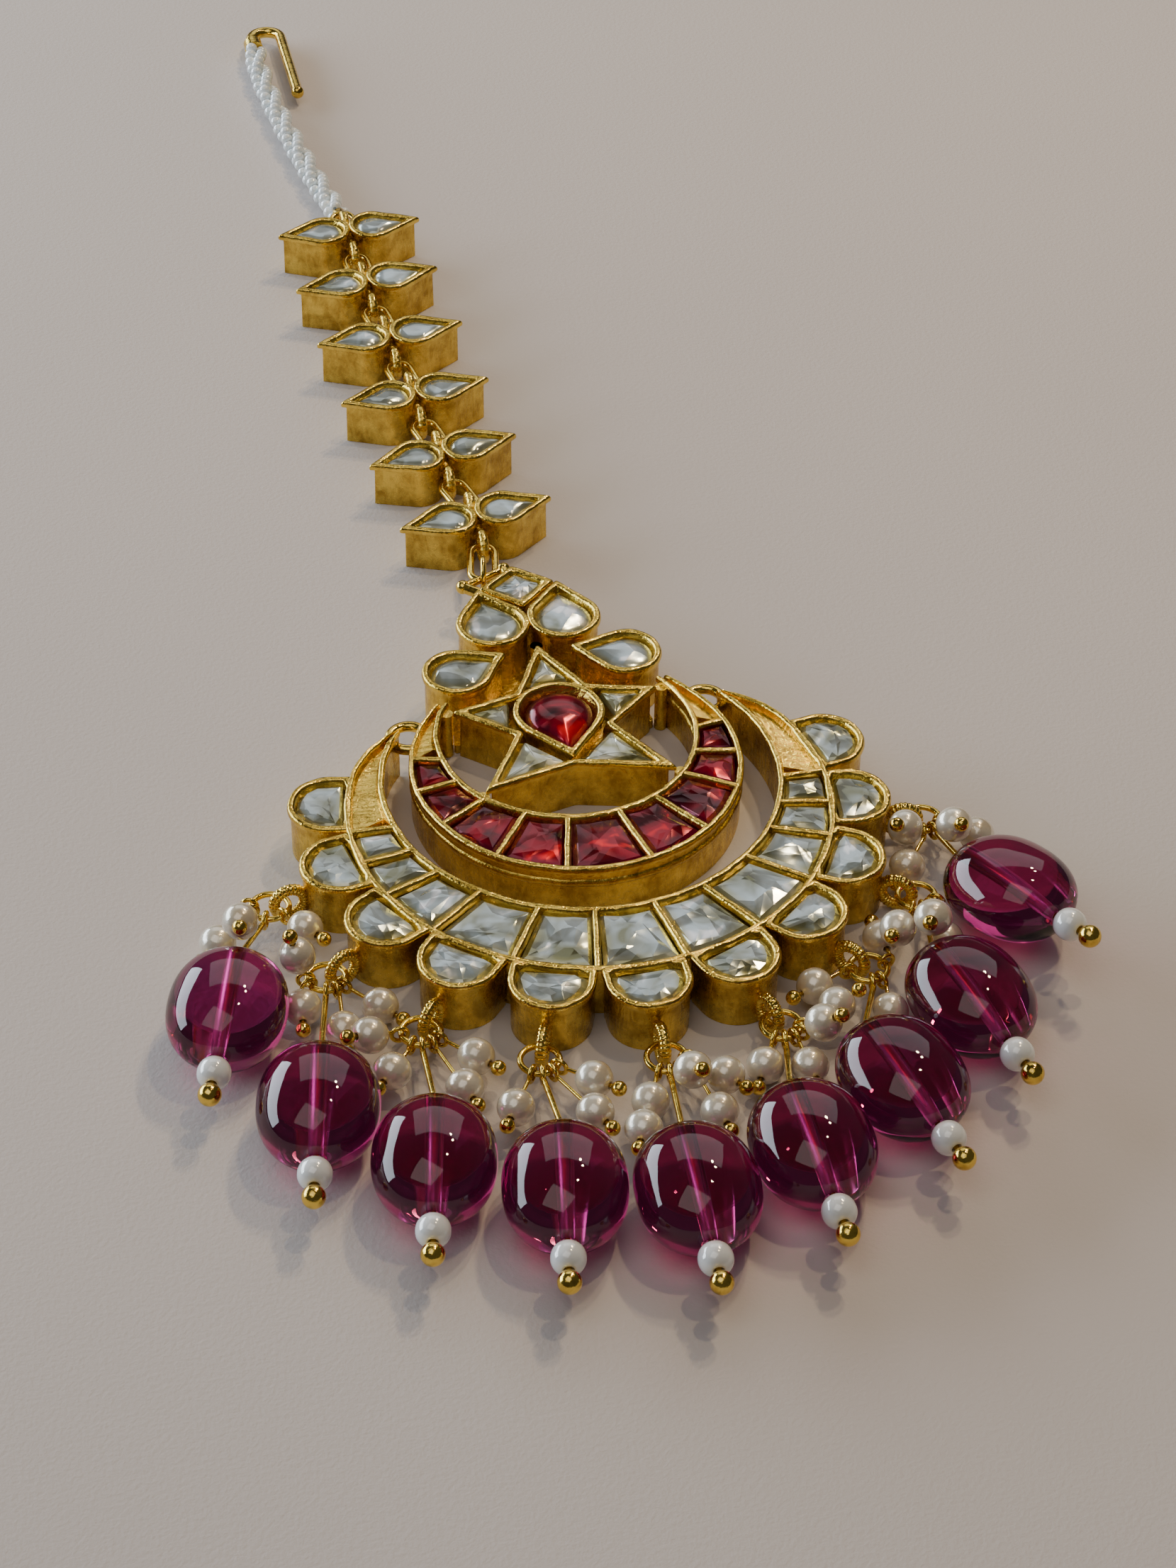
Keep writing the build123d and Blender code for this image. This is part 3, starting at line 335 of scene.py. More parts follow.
def hand_wave(part, seed=WAVE_SEED):
    """Moves points by sines of their place, slow and faster, as hand work strays, and more so higher up.

    The metal's wave is its size, and the seed gives the sines their phases.
    """
    points, faces = part
    amount = bpy.context.scene.tikka_metal.wave / MM
    phase = np.random.default_rng(seed).uniform(0, 2 * np.pi, (3, 4))
    x, y = points[:, 0:1], points[:, 1:2]
    slow = np.sin(0.9 * x + phase[:, 0]) + np.sin(0.8 * y + phase[:, 1])
    fast = 0.6 * np.sin(2.3 * x + 1.1 * y + phase[:, 2]) + 0.6 * np.sin(1.4 * x - 2.6 * y + phase[:, 3])
    lift = np.clip(points[:, 2:3], 0.0, 1.0)
    return points + amount * (slow + fast) * lift / 2, faces


# ---- outlines ----------------------------------------------------------------------------------
def polar(radius, bearing, centre_y=0.0):
    """Point or points at a bearing about a centre on the Y axis."""
    angle = np.radians(bearing)
    return np.stack([radius * np.sin(angle), centre_y - radius * np.cos(angle)], axis=-1)


def heading(bearing, rise=0.0):
    """Unit vector along a bearing, raised by an angle over the horizontal."""
    flat = np.cos(np.radians(rise))
    return np.array([flat * np.sin(np.radians(bearing)), -flat * np.cos(np.radians(bearing)),
                     np.sin(np.radians(rise))])


def placed(points, x, y, turn):
    """Flat points turned by an angle in degrees, then moved."""
    angle = np.radians(turn)
    spin = np.array([[np.cos(angle), np.sin(angle)], [-np.sin(angle), np.cos(angle)]])
    return np.asarray(points) @ spin + (x, y)


def softened(corners, rounding, per_side=10, per_corner=6):
    """A closed outline through corners, each swapped for a parabola between its trimmed sides."""
    corners = np.asarray(corners, float)
    before, after = np.roll(corners, 1, axis=0), np.roll(corners, -1, axis=0)
    t = np.linspace(0, 1, per_corner)[None, :, None]
    to_before, to_after = before - corners, after - corners
    room = np.minimum(np.linalg.norm(to_before, axis=1), np.linalg.norm(to_after, axis=1))[:, None] * 0.45
    trim = np.minimum(rounding, room)
    first, last = corners + trim * unit(to_before), corners + trim * unit(to_after)
    bend = ((1 - t) ** 2 * first[:, None] + 2 * t * (1 - t) * corners[:, None] + t ** 2 * last[:, None])
    s = np.linspace(0, 1, per_side + 2)[1:-1][None, :, None]
    side = last[:, None] * (1 - s) + np.roll(first, -1, axis=0)[:, None] * s
    return np.concatenate([bend, side], axis=1).reshape(-1, 2)


def inset(corners, margins):
    """Corners of an anticlockwise outline with each side moved in by its margin."""
    corners = np.asarray(corners, float)
    run = np.roll(corners, -1, axis=0) - corners
    normal = unit(np.column_stack([-run[:, 1], run[:, 0]]))
    level = np.sum(normal * corners, axis=1) + np.broadcast_to(margins, len(corners))
    normal_before, level_before = np.roll(normal, 1, axis=0), np.roll(level, 1)
    scale = normal_before[:, 0] * normal[:, 1] - normal_before[:, 1] * normal[:, 0]
    x = (level_before * normal[:, 1] - normal_before[:, 1] * level) / scale
    y = (normal_before[:, 0] * level - level_before * normal[:, 0]) / scale
    return np.column_stack([x, y])


def teardrop_outline(drop, margin, rounding=0.35):
    """A teardrop moved in by a margin, anticlockwise.

    It is a circle and the two tangents to it that meet in a point, which a parabola softens.
    """
    radius = drop.radius - margin
    reach = drop.reach * radius / drop.radius
    flank = np.arccos(radius / reach)
    tip = np.array([0.0, reach])
    angle = np.linspace(flank, 2 * np.pi - flank, 56)
    end = np.column_stack([-radius * np.sin(angle), radius * np.cos(angle)])
    away = unit(end[0] - tip)
    left, right = tip + rounding * away, tip + rounding * away * (-1, 1)
    t = np.linspace(0, 1, 6)[:, None]
    point = (1 - t) ** 2 * right + 2 * t * (1 - t) * tip + t ** 2 * left
    s = np.linspace(0, 1, 14)[1:-1][:, None]
    outline = np.vstack([point, left * (1 - s) + end[0] * s, end, end[-1] * (1 - s) + right * s])
    return placed(outline, drop.x, drop.y, drop.turn)


def scallop_bearings():
    """Bearings of the scallops, evenly spaced about -Y."""
    return SCALLOP_PITCH * (np.arange(SCALLOP_COUNT) - (SCALLOP_COUNT - 1) / 2)


def scallop_outline(bearing, margin):
    """A scallop moved in by a margin: a straight root under the crescent's rim and a round end."""
    half, root = SCALLOP_HALF_WIDTH - margin, OUTER_CRESCENT.outer - 0.75 + margin
    angle = np.linspace(0, np.pi, 44)
    end = np.column_stack([half * np.cos(angle), SCALLOP_CENTRE - root + half * np.sin(angle)])
    s = np.linspace(0, 1, 8)[1:-1][:, None]
    right, left = np.array([half, 0.0]), np.array([-half, 0.0])
    outline = np.vstack([right * (1 - s) + end[0] * s, end, end[-1] * (1 - s) + left * s,
                         left * (1 - s) + right * s])
    across, out = heading(bearing + 90)[:2], heading(bearing)[:2]
    return (outline[:, 0:1] * across + (root + outline[:, 1:2]) * out)[::-1]


def lip_levels(top):
    """The rounded lip on a wall, from outside to inside, as (margin, height) at each bend."""
    width = RIM_WIDTH
    return [(0.26, top - 1.0), (0.25, top - 0.74), (0.17, top - 0.66), (0.03, top - 0.58),
            (0.0, top - 0.44), (0.02, top - 0.22), (0.09, top - 0.08), (0.2, top), (width - 0.22, top),
            (width - 0.09, top - 0.06), (width - 0.02, top - 0.2)]


def at_height(flat, height):
    """Flat points at a height, one for all or one each."""
    return np.column_stack([flat, np.broadcast_to(height, len(flat))])


def collet(outline_at, height, bevel=0.22, seed=WAVE_SEED):
    """A closed collet: levels of an outline, from its back up the wall, over the lip, down to its floor.

    outline_at gives the outline moved in by a margin. Each level is a margin and a height.
    """
    levels = [(0.25, 0.0), (0.25, 0.4), *lip_levels(height), (RIM_WIDTH + 0.05, height - 0.45),
              (RIM_WIDTH + bevel, height - 0.95), (RIM_WIDTH + bevel + 0.05, height - FLOOR_DEPTH)]
    rings = np.stack([at_height(outline_at(margin), level) for margin, level in levels])
    hub = rings[-1].mean(axis=0)
    return hand_wave(surface(rings, False, hub * (1, 1, 0), hub), seed)


def cornered_collet(corners, height):
    """A collet round straight sides, with corners that are rounder the further in they lie."""
    return collet(lambda m: softened(inset(corners, m), CORNER_ROUNDING + 0.2 * m), height)


def travelled(path):
    """Length along a path up to each of its points."""
    return np.concatenate([[0.0], np.cumsum(np.linalg.norm(np.diff(path, axis=0), axis=1))])


def resampled(path, count):
    """Points evenly spaced by length along a path."""
    length = travelled(path)
    want = np.linspace(0, length[-1], count)
    return np.column_stack([np.interp(want, length, path[:, k]) for k in range(path.shape[1])])


def crescent_edges(crescent):
    """The outer and the inner edge of a crescent, from the -X horn's top round to the +X one's.

    The inner edge is one arc. The outer one is an arc too, with a smaller arc at each horn where the
    crescent has a shoulder.
    """
    rise = crescent.horn_top - crescent.inner_centre
    stop = 180 - np.degrees(np.arccos(rise / crescent.inner))
    inner = polar(crescent.inner, np.linspace(-stop, stop, 400), crescent.inner_centre)
    if crescent.shoulder:
        hub = polar(crescent.outer - crescent.horn_radius, crescent.shoulder, crescent.centre)
        top = 180 - np.degrees(np.arccos((crescent.horn_top - hub[1]) / crescent.horn_radius))
        horn = polar(crescent.horn_radius, np.linspace(crescent.shoulder, top, 120)) + hub
        bearings = np.linspace(-crescent.shoulder, crescent.shoulder, 500)[1:-1]
        arc = polar(crescent.outer, bearings, crescent.centre)
        outer = np.vstack([(horn * (-1, 1))[::-1], arc, horn])
    else:
        top = 180 - np.degrees(np.arccos((crescent.horn_top - crescent.centre) / crescent.outer))
        outer = polar(crescent.outer, np.linspace(-top, top, 600), crescent.centre)
    return resampled(outer, 260), resampled(inner, 260)


def crescent_body(crescent, moulded):
    """A crescent: one closed section between its edges at each station from horn to horn.

    The section rises by the outer wall, goes over the outer lip, across the floor, over the inner
    lip and down the inner wall. Where a horn is narrower than two lips, margins shrink with it. A
    moulded crescent has a ledge round its wall.
    """
    outer, inner = crescent_edges(crescent)
    width = np.linalg.norm(inner - outer, axis=1)[:, None]
    across = (inner - outer) / width
    squeeze = np.minimum(1.0, width / (2.02 * (RIM_WIDTH + 0.15)))
    bearing = np.degrees(np.arctan2(outer[:, 0], crescent.centre - outer[:, 1]))
    last = crescent.dividers[-1][0]
    depth = np.where(np.abs(bearing) > last, HORN_DEPTH, FLOOR_DEPTH)
    top = RIM_HEIGHT
    levels = [(0.25, 0.0), *lip_levels(top), (RIM_WIDTH + 0.04, top - 0.45)]
    if moulded:
        levels[1:2] = [(0.26, top - 2.0), (0.12, top - 1.9), (0.06, top - 1.75), (0.06, top - 1.55),
                       (0.12, top - 1.4), (0.25, top - 1.3)]
    sides = []
    for edge, inwards in ((outer, across * squeeze), (inner, -across * squeeze)):
        wall = [at_height(edge + inwards * margin, level) for margin, level in levels]
        sides.append(wall + [at_height(edge + inwards * (RIM_WIDTH + 0.14), top - depth)])
    rings = np.stack(sides[1] + sides[0][::-1], axis=1)
    return hand_wave(surface(rings, False, rings[0].mean(axis=0), rings[-1].mean(axis=0)))


def inner_point(crescent, bearing, radius):
    """Where a bearing about the outer centre meets a circle about the inner centre."""
    lift = crescent.inner_centre - crescent.centre
    direction = polar(1.0, bearing)
    along = direction[..., 1:2] * lift
    travel = along + np.sqrt(along ** 2 + radius ** 2 - lift ** 2)
    return travel * direction + (0.0, crescent.centre)


def bar(start, end, low, high):
    """A straight divider with a rounded top: the same closed section at stations from end to end."""
    start, end = np.append(start, 0.0), np.append(end, 0.0)
    run = unit(end - start)
    side = np.array([-run[1], run[0], 0.0])
    half = DIVIDER / 2
    section = [(-half - 0.1, low), (-half - 0.04, high - 0.5), (-half, high - 0.2),
               (-half + 0.07, high - 0.06), (-half + 0.17, high), (half - 0.17, high),
               (half - 0.07, high - 0.06), (half, high - 0.2), (half + 0.04, high - 0.5), (half + 0.1, low)]
    shape = np.array([side * x + (0, 0, z) for x, z in section[::-1]])
    stations = np.linspace(0, 1, 12)[:, None, None]
    rings = (start * (1 - stations) + end * stations) + shape
    return surface(rings, False, rings[0].mean(axis=0), rings[-1].mean(axis=0))


def divider_walls(crescent):
    """The walls between a crescent's stones, both sides, as (outer bearing, inner bearing)."""
    return [(-a, -b) for a, b in reversed(crescent.dividers)] + list(crescent.dividers)


def divider_bars(crescent):
    """A bar from the outer to the inner rim at each divider, its ends buried in the rims."""
    bars = []
    for outer, inner in divider_walls(crescent):
        start = polar(crescent.outer - 0.25, outer, crescent.centre)
        end = inner_point(crescent, np.array(inner), crescent.inner + 0.25)
        bars.append(hand_wave(bar(start, end, RIM_HEIGHT - FLOOR_DEPTH - 0.1, RIM_HEIGHT - 0.02)))
    return bars


# ---- shader nodes ------------------------------------------------------------------------------
class Value:
    """A socket in a node tree. Arithmetic on it, or with it, adds Math nodes and gives a Value."""

    def __init__(self, tree, socket):
        self.tree, self.socket = tree, socket

    def math(self, operation, *values, clamp=False):
        """Adds one Math node."""
        node = self.tree.nodes.new("ShaderNodeMath")
        node.operation, node.use_clamp = operation, clamp
        for slot, value in zip(node.inputs, values):
            connect(self.tree, value, slot)
        return Value(self.tree, node.outputs[0])

    def __add__(self, other):
        return self.math("ADD", self, other)

    def __sub__(self, other):
        return self.math("SUBTRACT", self, other)

    def __rsub__(self, other):
        return self.math("SUBTRACT", other, self)

    def __mul__(self, other):
        return self.math("MULTIPLY", self, other)

    def __truediv__(self, other):
        return self.math("DIVIDE", self, other)

    __radd__, __rmul__ = __add__, __mul__

    def clamped(self):
        """The value held between 0 and 1."""
        return self.math("ADD", self, 0.0, clamp=True)


def connect(tree, value, slot):
    """Links a Value to a socket, or sets the socket to a plain value."""
    if isinstance(value, Value):
        tree.links.new(value.socket, slot)
    elif isinstance(value, (int, float)):
        slot.default_value = value
    else:
        value = tuple(value)
        slot.default_value = value + (1.0,) * (len(slot.default_value) - len(value))


class Finish:
    """A material with one Principled shader, and its other nodes."""

    def __init__(self, name, **sockets):
        self.material = bpy.data.materials.new(name)
        self.material.use_nodes = True
        self.tree = self.material.node_tree
        self.shader = self.tree.nodes["Principled BSDF"]
        self.set(**sockets)
        self.place = self.node("TexCoord", out="Object")

    def set(self, **sockets):
        """Sets or links sockets of the shader, named with underscores for spaces."""
        for name, value in sockets.items():
            connect(self.tree, value, self.shader.inputs[name.replace("_", " ")])

    def node(self, kind, settings=None, out=0, **sockets):
        """Adds a node: its type, then its settings, then its sockets, and gives one output as a Value."""
        made = self.tree.nodes.new("ShaderNode" + kind)
        for key, value in (settings or {}).items():
            if key == "stops":
                ramp = made.color_ramp.elements
                while len(ramp) < len(value):
                    ramp.new(0.5)
                for element, (position, colour) in zip(ramp, value):
                    element.position, element.color = position, (*colour, 1.0)
            else:
                setattr(made, key, value)
        for name, value in sockets.items():
            slots = [s for s in made.inputs if s.name == name.replace("_", " ") and s.enabled]
            connect(self.tree, value, slots[0])
        outputs = [s for s in made.outputs if s.enabled]
        return Value(self.tree, made.outputs[out] if isinstance(out, str) else outputs[out])

    def noise(self, scale, detail=2.0, roughness=0.5, distortion=0.0, vector=None):
        """Clouds of about 0.5, of a scale in waves a metre."""
        return self.node("TexNoise", Scale=scale, Detail=detail, Roughness=roughness, Distortion=distortion,
                         Vector=vector or self.place)

    def cells(self, scale):
        """Distance to the nearest of scattered points, of a scale in cells a metre."""
        return self.node("TexVoronoi", Scale=scale, Vector=self.place, out="Distance")

    def between(self, factor, first, second):
        """A colour between two others."""
        return self.node("Mix", {"data_type": "RGBA"}, Factor=factor, A=first, B=second)

    def ramp(self, value, *stops):
        """A colour for a value, between stops of (position, colour)."""
        return self.node("ValToRGB", {"stops": stops}, Fac=value, out="Color")

    def stretched(self, x, y, z):
        """Places with each axis scaled, to draw a pattern out along another."""
        return self.node("Mapping", Vector=self.place, Scale=(x, y, z))

    def bump(self, height, strength, distance):
        """Normals for a height; distance is in metres."""
        return self.node("Bump", Height=height, Strength=strength, Distance=distance, out="Normal")


def gold(name, colour, shade, roughness, foil, grain, lip_height=None):
    """Gold plate: a colour with a darker shade in worn patches, foil creases and fine scratches.

    Under lip_height, in millimetres, the walls are painted darker towards the shade, as painted shade, and
    turn satin.
    """
    finish = Finish(name, Metallic=1.0)
    patches = finish.noise(450.0, 3.0, 0.6)
    fine = finish.noise(2300.0, 4.0, 0.65, 0.4)
    streaks = finish.noise(900.0, 3.0, 0.6, 1.2, vector=finish.stretched(1.0, 2.6, 0.5))
    tone = patches * 0.65 + streaks * 0.35
    sheen = fine * 0.2 + patches * 0.12 + (roughness - 0.14)
    if lip_height:
        level = finish.node("SeparateXYZ", Vector=finish.place, out="Z")
        wall = 1.0 - ((level / MM - lip_height) * 3.0).clamped()
        # Painted shade: the walls below the lip are darkened towards the shade colour.
        tone = tone - wall * 0.07
        sheen = sheen + wall * 0.14
    finish.set(Base_Color=finish.ramp(tone, (0.30, shade), (0.54, colour)), Roughness=sheen.clamped(),
               Normal=finish.bump(fine * grain + streaks * foil, 0.55, 0.00018))
    return finish.material


def foiled_stone(name, colours, painted_reflections, metallic, coat=1.0, painted_glow=0.0):
    """A cut stone over foil: a base in smooth clouds under a clear coat, with a painted glow of its own
    colour.

    colours run from the dark facets to the bright ones, partly the foil's own tone and partly painted shade
    and painted reflection. The pair after them is the painted reflection of the stone's gold edge and the
    few small painted glints.
    """
    finish = Finish(name, Metallic=metallic, Coat_Weight=coat, Coat_Roughness=0.02, Coat_IOR=1.5,
                    Emission_Strength=painted_glow)
    dark, middle, bright = colours
    swell = finish.noise(210.0, 1.0, 0.4)
    cloud = finish.noise(330.0, 2.0, 0.5, 0.9)
    facet = finish.cells(300.0)
    edge = finish.node("Attribute", {"attribute_name": "edge_share"}, out="Fac")
    # The foil's tone in random clouds, partly painted shade and painted reflection.
    base = finish.ramp(cloud * 0.6 + swell * 0.4, (0.38, dark), (0.47, middle), (0.57, bright))
    # Painted glints where the clouds run highest.
    base = finish.between(((cloud - 0.64) * 14.0).clamped(), base, painted_reflections[1])
    # A painted reflection of the gold by the stone's edge.
    base = finish.between(((edge - 0.66) * 2.6).clamped(), base, painted_reflections[0])
    # The stone's colour is also given off as a painted glow, though it is no lamp.
    finish.set(Base_Color=base, Emission_Color=base, Roughness=cloud * 0.2 + 0.06,
               Normal=finish.bump(swell * 1.4 + facet * 0.9, 0.5, 0.0012))
    return finish.material


def drop_glass(name, roughness, lift):
    """Transparent glass whose colour drifts a little along the bead, with faint swirls in its skin.

    lift takes the colour that share of the way to white, as where a drill has frosted it.
    """
    colour = tuple(bpy.context.scene.tikka_drops.glass_colour)
    finish = Finish(name, Roughness=roughness, IOR=1.5, Transmission_Weight=1.0)
    drift = finish.noise(120.0, 2.0, 0.5)
    deep = tuple(c * 0.8 for c in colour)
    light = tuple(c + (1.0 - c) * lift for c in colour)
    skin = finish.noise(140.0, 1.0, 0.4)
    finish.set(Base_Color=finish.between(drift, light, deep), Normal=finish.bump(skin, 0.02, 0.0006))
    return finish.material


def pearl_lustre(name, colour, warm, dimple, roughness=0.22, metallic=0.0):
    """Nacre or glazed glass: a pale body with warm clouds, a strong soft coat and slight dimples."""
    finish = Finish(name, Roughness=roughness, Metallic=metallic, IOR=1.8, Coat_Weight=1.0,
                    Coat_Roughness=0.07, Coat_IOR=1.7)
    cloud = finish.noise(420.0, 3.0, 0.5)
    dimples = finish.noise(800.0, 3.0, 0.55)
    finish.set(Base_Color=finish.between((cloud * 1.8 - 0.4).clamped(), colour, warm),
               Normal=finish.bump(dimples, dimple, 0.0003))
    return finish.material


def make_materials():
    """Every material of the piece, by the name that its pieces ask for."""
    metal, stones = bpy.context.scene.tikka_metal, bpy.context.scene.tikka_stones
    drops, strand = bpy.context.scene.tikka_drops, bpy.context.scene.tikka_strand
    # The darker gold serves random patches and the painted shade on the walls.
    rim, wall = tuple(metal.rim_colour), tuple(metal.patch_and_wall_shade_colour)

    # Dark, middle and bright foil, partly painted shade and reflection; then painted edge reflection and
    # glints.
    clear_foil_and_painted_light = (0.15, 0.155, 0.08), tuple(stones.clear_colour), (0.48, 0.57, 0.60)
    star_foil_and_painted_light = (0.09, 0.08, 0.02), (0.30, 0.29, 0.13), (0.62, 0.66, 0.58)
    ruby_foil_and_painted_light = (0.02, 0.0, 0.002), tuple(stones.ruby_colour), (0.27, 0.0, 0.014)
    clear_painted_reflections = (0.36, 0.33, 0.10), (0.97, 0.98, 1.0)
    ruby_painted_reflections = (0.09, 0.0, 0.02), (0.95, 0.01, 0.02)
    warm_nacre, white_glaze, blue_glaze = (0.62, 0.50, 0.33), (0.88, 0.90, 0.90), (0.84, 0.88, 0.88)
    MATERIALS.update(
        gold=gold("set_gold", rim, wall, metal.rim_roughness, foil=0.8, grain=0.55,
                  lip_height=LINK_HEIGHT - 0.75),
        wire=gold("wire_gold", rim, wall, metal.rim_roughness, foil=0.2, grain=0.2),
        clear=foiled_stone("clear_stone", clear_foil_and_painted_light, clear_painted_reflections, metallic=0.55),
        star=foiled_stone("star_stone", star_foil_and_painted_light, clear_painted_reflections, metallic=0.55),
        # The rubies alone get a painted glow.
        ruby=foiled_stone("ruby_stone", ruby_foil_and_painted_light, ruby_painted_reflections, metallic=0.5, coat=0.25, painted_glow=0.08),
        glass=drop_glass("magenta_glass", roughness=0.015, lift=0.0),
        bore=drop_glass("drilled_glass", roughness=0.35, lift=0.25),
        pearl=pearl_lustre("pearl", tuple(drops.pearl_colour), warm_nacre, dimple=0.3, roughness=0.25,
                           metallic=0.3),
        tip=pearl_lustre("white_glass", tuple(drops.tip_colour), white_glaze, dimple=0.05, roughness=0.15),
        seed=pearl_lustre("seed_beads", tuple(strand.bead_colour), blue_glaze, dimple=0.05),
    )


# ---- pieces ------------------------------------------------------------------------------------
def cut_stone(outline, rim_height, depth, seed):
    """A cut stone: a girdle, two tiers of uneven facets and a small table, each a share of the outline.

    Gives the part, and each point's nearness to the edge. Shares, heights and the table's place
    stray a little from stone to stone.
    """
    rng = np.random.default_rng(seed)
    middle = outline.mean(axis=0)
    base, top = rim_height - FLOOR_DEPTH + 0.02, rim_height - depth
    stray = rng.uniform(-0.12, 0.12, 2) * np.ptp(outline, axis=0)
    rings, shares = [], []
    tiers = ((1.0, base, 0.0), (1.0, top - 0.5, 0.0), (0.84, top - 0.16, 0.04), (0.42, top, 0.10))
    for share, level, loose in tiers:
        spread = share + rng.uniform(-loose, loose, (len(outline), 1))
        flat = middle + stray * (1 - share) + (outline - middle) * spread
        rings.append(at_height(flat, level + rng.uniform(-loose, loose, len(flat)) * 0.5))
        shares.append(np.full(len(outline), share))
    part = surface(np.stack(rings), False, (*middle, base), (*(middle + stray), top + 0.02))
    return part, np.concatenate([*shares, [1.0, 0.0]])


def domed_stone(outline, rim_height, depth, steps=9, plump=1.0):
    """A cabochon: an outline shrunk by a power of cos(t) while it rises by sin(t), and edge nearness."""
    middle = outline.mean(axis=0)
    base, top = rim_height - FLOOR_DEPTH + 0.02, rim_height - depth
    edge = top - 0.8 * plump
    t = np.linspace(0, np.pi / 2, steps + 1)[:-1]
    rings, shares = [at_height(outline, base)], [np.ones(len(outline))]
    for angle in t:
        share = np.cos(angle) ** 0.75
        flat = middle + (outline - middle) * share
        rings.append(at_height(flat, edge + (top - edge) * np.sin(angle)))
        shares.append(np.full(len(outline), share))
    part = surface(np.stack(rings), False, (*middle, base), (*middle, top))
    return part, np.concatenate([*shares, [1.0, 0.0]])


def add_stones(node, stones, finish, crease=None):
    """One object from (part, nearness) pairs, in place of a node."""
    parts, shares = zip(*stones)
    add_mesh("cut_" + node, parts, finish, crease, node, shares)


def channel_outlines(crescent):
    """Each channel stone's outline between one divider and the next."""
    walls = divider_walls(crescent)
    clear = np.degrees((DIVIDER / 2 + 0.08) / crescent.inner)
    outlines = []
    for (outer_from, inner_from), (outer_to, inner_to) in zip(walls, walls[1:]):
        outwards = np.linspace(outer_from + clear, outer_to - clear, 4)
        inwards = np.linspace(inner_to - clear, inner_from + clear, 4)
        far = polar(crescent.outer - STONE_MARGIN, outwards, crescent.centre)
        near = inner_point(crescent, inwards, crescent.inner + STONE_MARGIN)
        outlines.append(np.vstack([far, near]))
    return outlines


def bead(centre, axis, half_length, width, thickness, hole, power, around, along):
    """A drilled bead: a fuller kind of ellipse carried round an axis, then back through its hole.

    Along the axis it runs by the cosine, and across it reaches by the sine, each to 2 / power, so a
    power of 2 is an ellipse and more is squarer. width is half its size to the side, thickness upwards.
    """
    side = unit(np.cross(axis, (0.0, 0.0, 1.0)))
    rise = np.cross(axis, side)
    mouth = np.arcsin(((hole + 0.05) / min(width, thickness)) ** (power / 2))
    t = np.linspace(mouth, np.pi - mouth, along)
    run = -half_length * np.sign(np.cos(t)) * np.abs(np.cos(t)) ** (2 / power)
    reach = np.sin(t) ** (2 / power)
    bore = np.linspace(run[-1] - 0.04, run[0] + 0.04, BORE_RINGS)
    run = np.concatenate([run, bore])[:, None, None]
    wide = np.concatenate([width * reach, np.full(BORE_RINGS, hole)])[:, None, None]
    high = np.concatenate([thickness * reach, np.full(BORE_RINGS, hole)])[:, None, None]
    turn = full_turn(around)[None, :, None]
    rings = centre + axis * run + wide * np.cos(turn) * side + high * np.sin(turn) * rise
    return surface(rings, True)


def jump_ring(drop):
    """The centre of a drop's jump ring, straight out from its scallop."""
    return np.append(polar(RING_CENTRE, SCALLOP_PITCH * drop.scallop), RING_HEIGHT)


def bead_centre(drop):
    """The middle of a drop's bead, which lies a little higher where its pin is raised."""
    flat = jump_ring(drop) + heading(drop.bearing) * drop.reach
    return np.array([flat[0], flat[1], BEAD_HEIGHT + TIP_LIFT * np.sin(np.radians(drop.rise))])


def pearl_run(pin):
    """A pearl pin's direction and its pearls' centres."""
    drop = DROPS[pin.drop]
    centre = jump_ring(drop)
    first = centre + heading(pin.bearing) * pin.reach
    first[2] = pin.height
    bearing = drop.bearing + LOOP_STEP * pin.order
    loop = centre + heading(bearing) * (RING_SIZE + LOOP_OUTSIDE)
    run = first - loop
    rise = np.degrees(np.arctan2(run[2], np.hypot(run[0], run[1])))
    run = unit(first - (loop + heading(bearing, rise) * LOOP_SIZE))
    return run, [first + run * (i * (2 * PEARL_RADIUS + BEAD_GAP)) for i in range(pin.pearls)]


def leaf_drops(pair):
    """The two teardrops of a pair of leaves, +X one first, with their points outwards."""
    turn = np.radians(pair.turn)
    return [Teardrop(pair.x + side * LEAF_OFFSET * np.cos(turn), pair.y + side * LEAF_OFFSET * np.sin(turn),
                     pair.turn - side * 90.0, LEAF_RADIUS, LEAF_REACH) for side in (1, -1)]


def strand_line():
    """A quadratic B-spline through the middles of the route's runs and its two ends, evenly spaced."""
    points = np.array(STRAND_ROUTE)
    padded = np.vstack([2 * points[0] - points[1], points, 2 * points[-1] - points[-2]])
    t = np.linspace(0, 1, 60, endpoint=False)[:, None]
    a, b, c = padded[:-2, None], padded[1:-1, None], padded[2:, None]
    line = ((1 - t) ** 2 / 2 * a + (0.5 + t * (1 - t)) * b + t ** 2 / 2 * c).reshape(-1, 3)
    inside = (line[:, 1] > points[0, 1] - 0.05) & (line[:, 1] < points[-1, 1] + 0.05)
    return resampled(line[inside], 400)


class PieceOperator:
    """What the operators share: each builds its pieces, and a fault in that stops it with an error."""
    bl_options = {"REGISTER", "UNDO"}

    def execute(self, context):
        self.build(context)
        return {"FINISHED"}


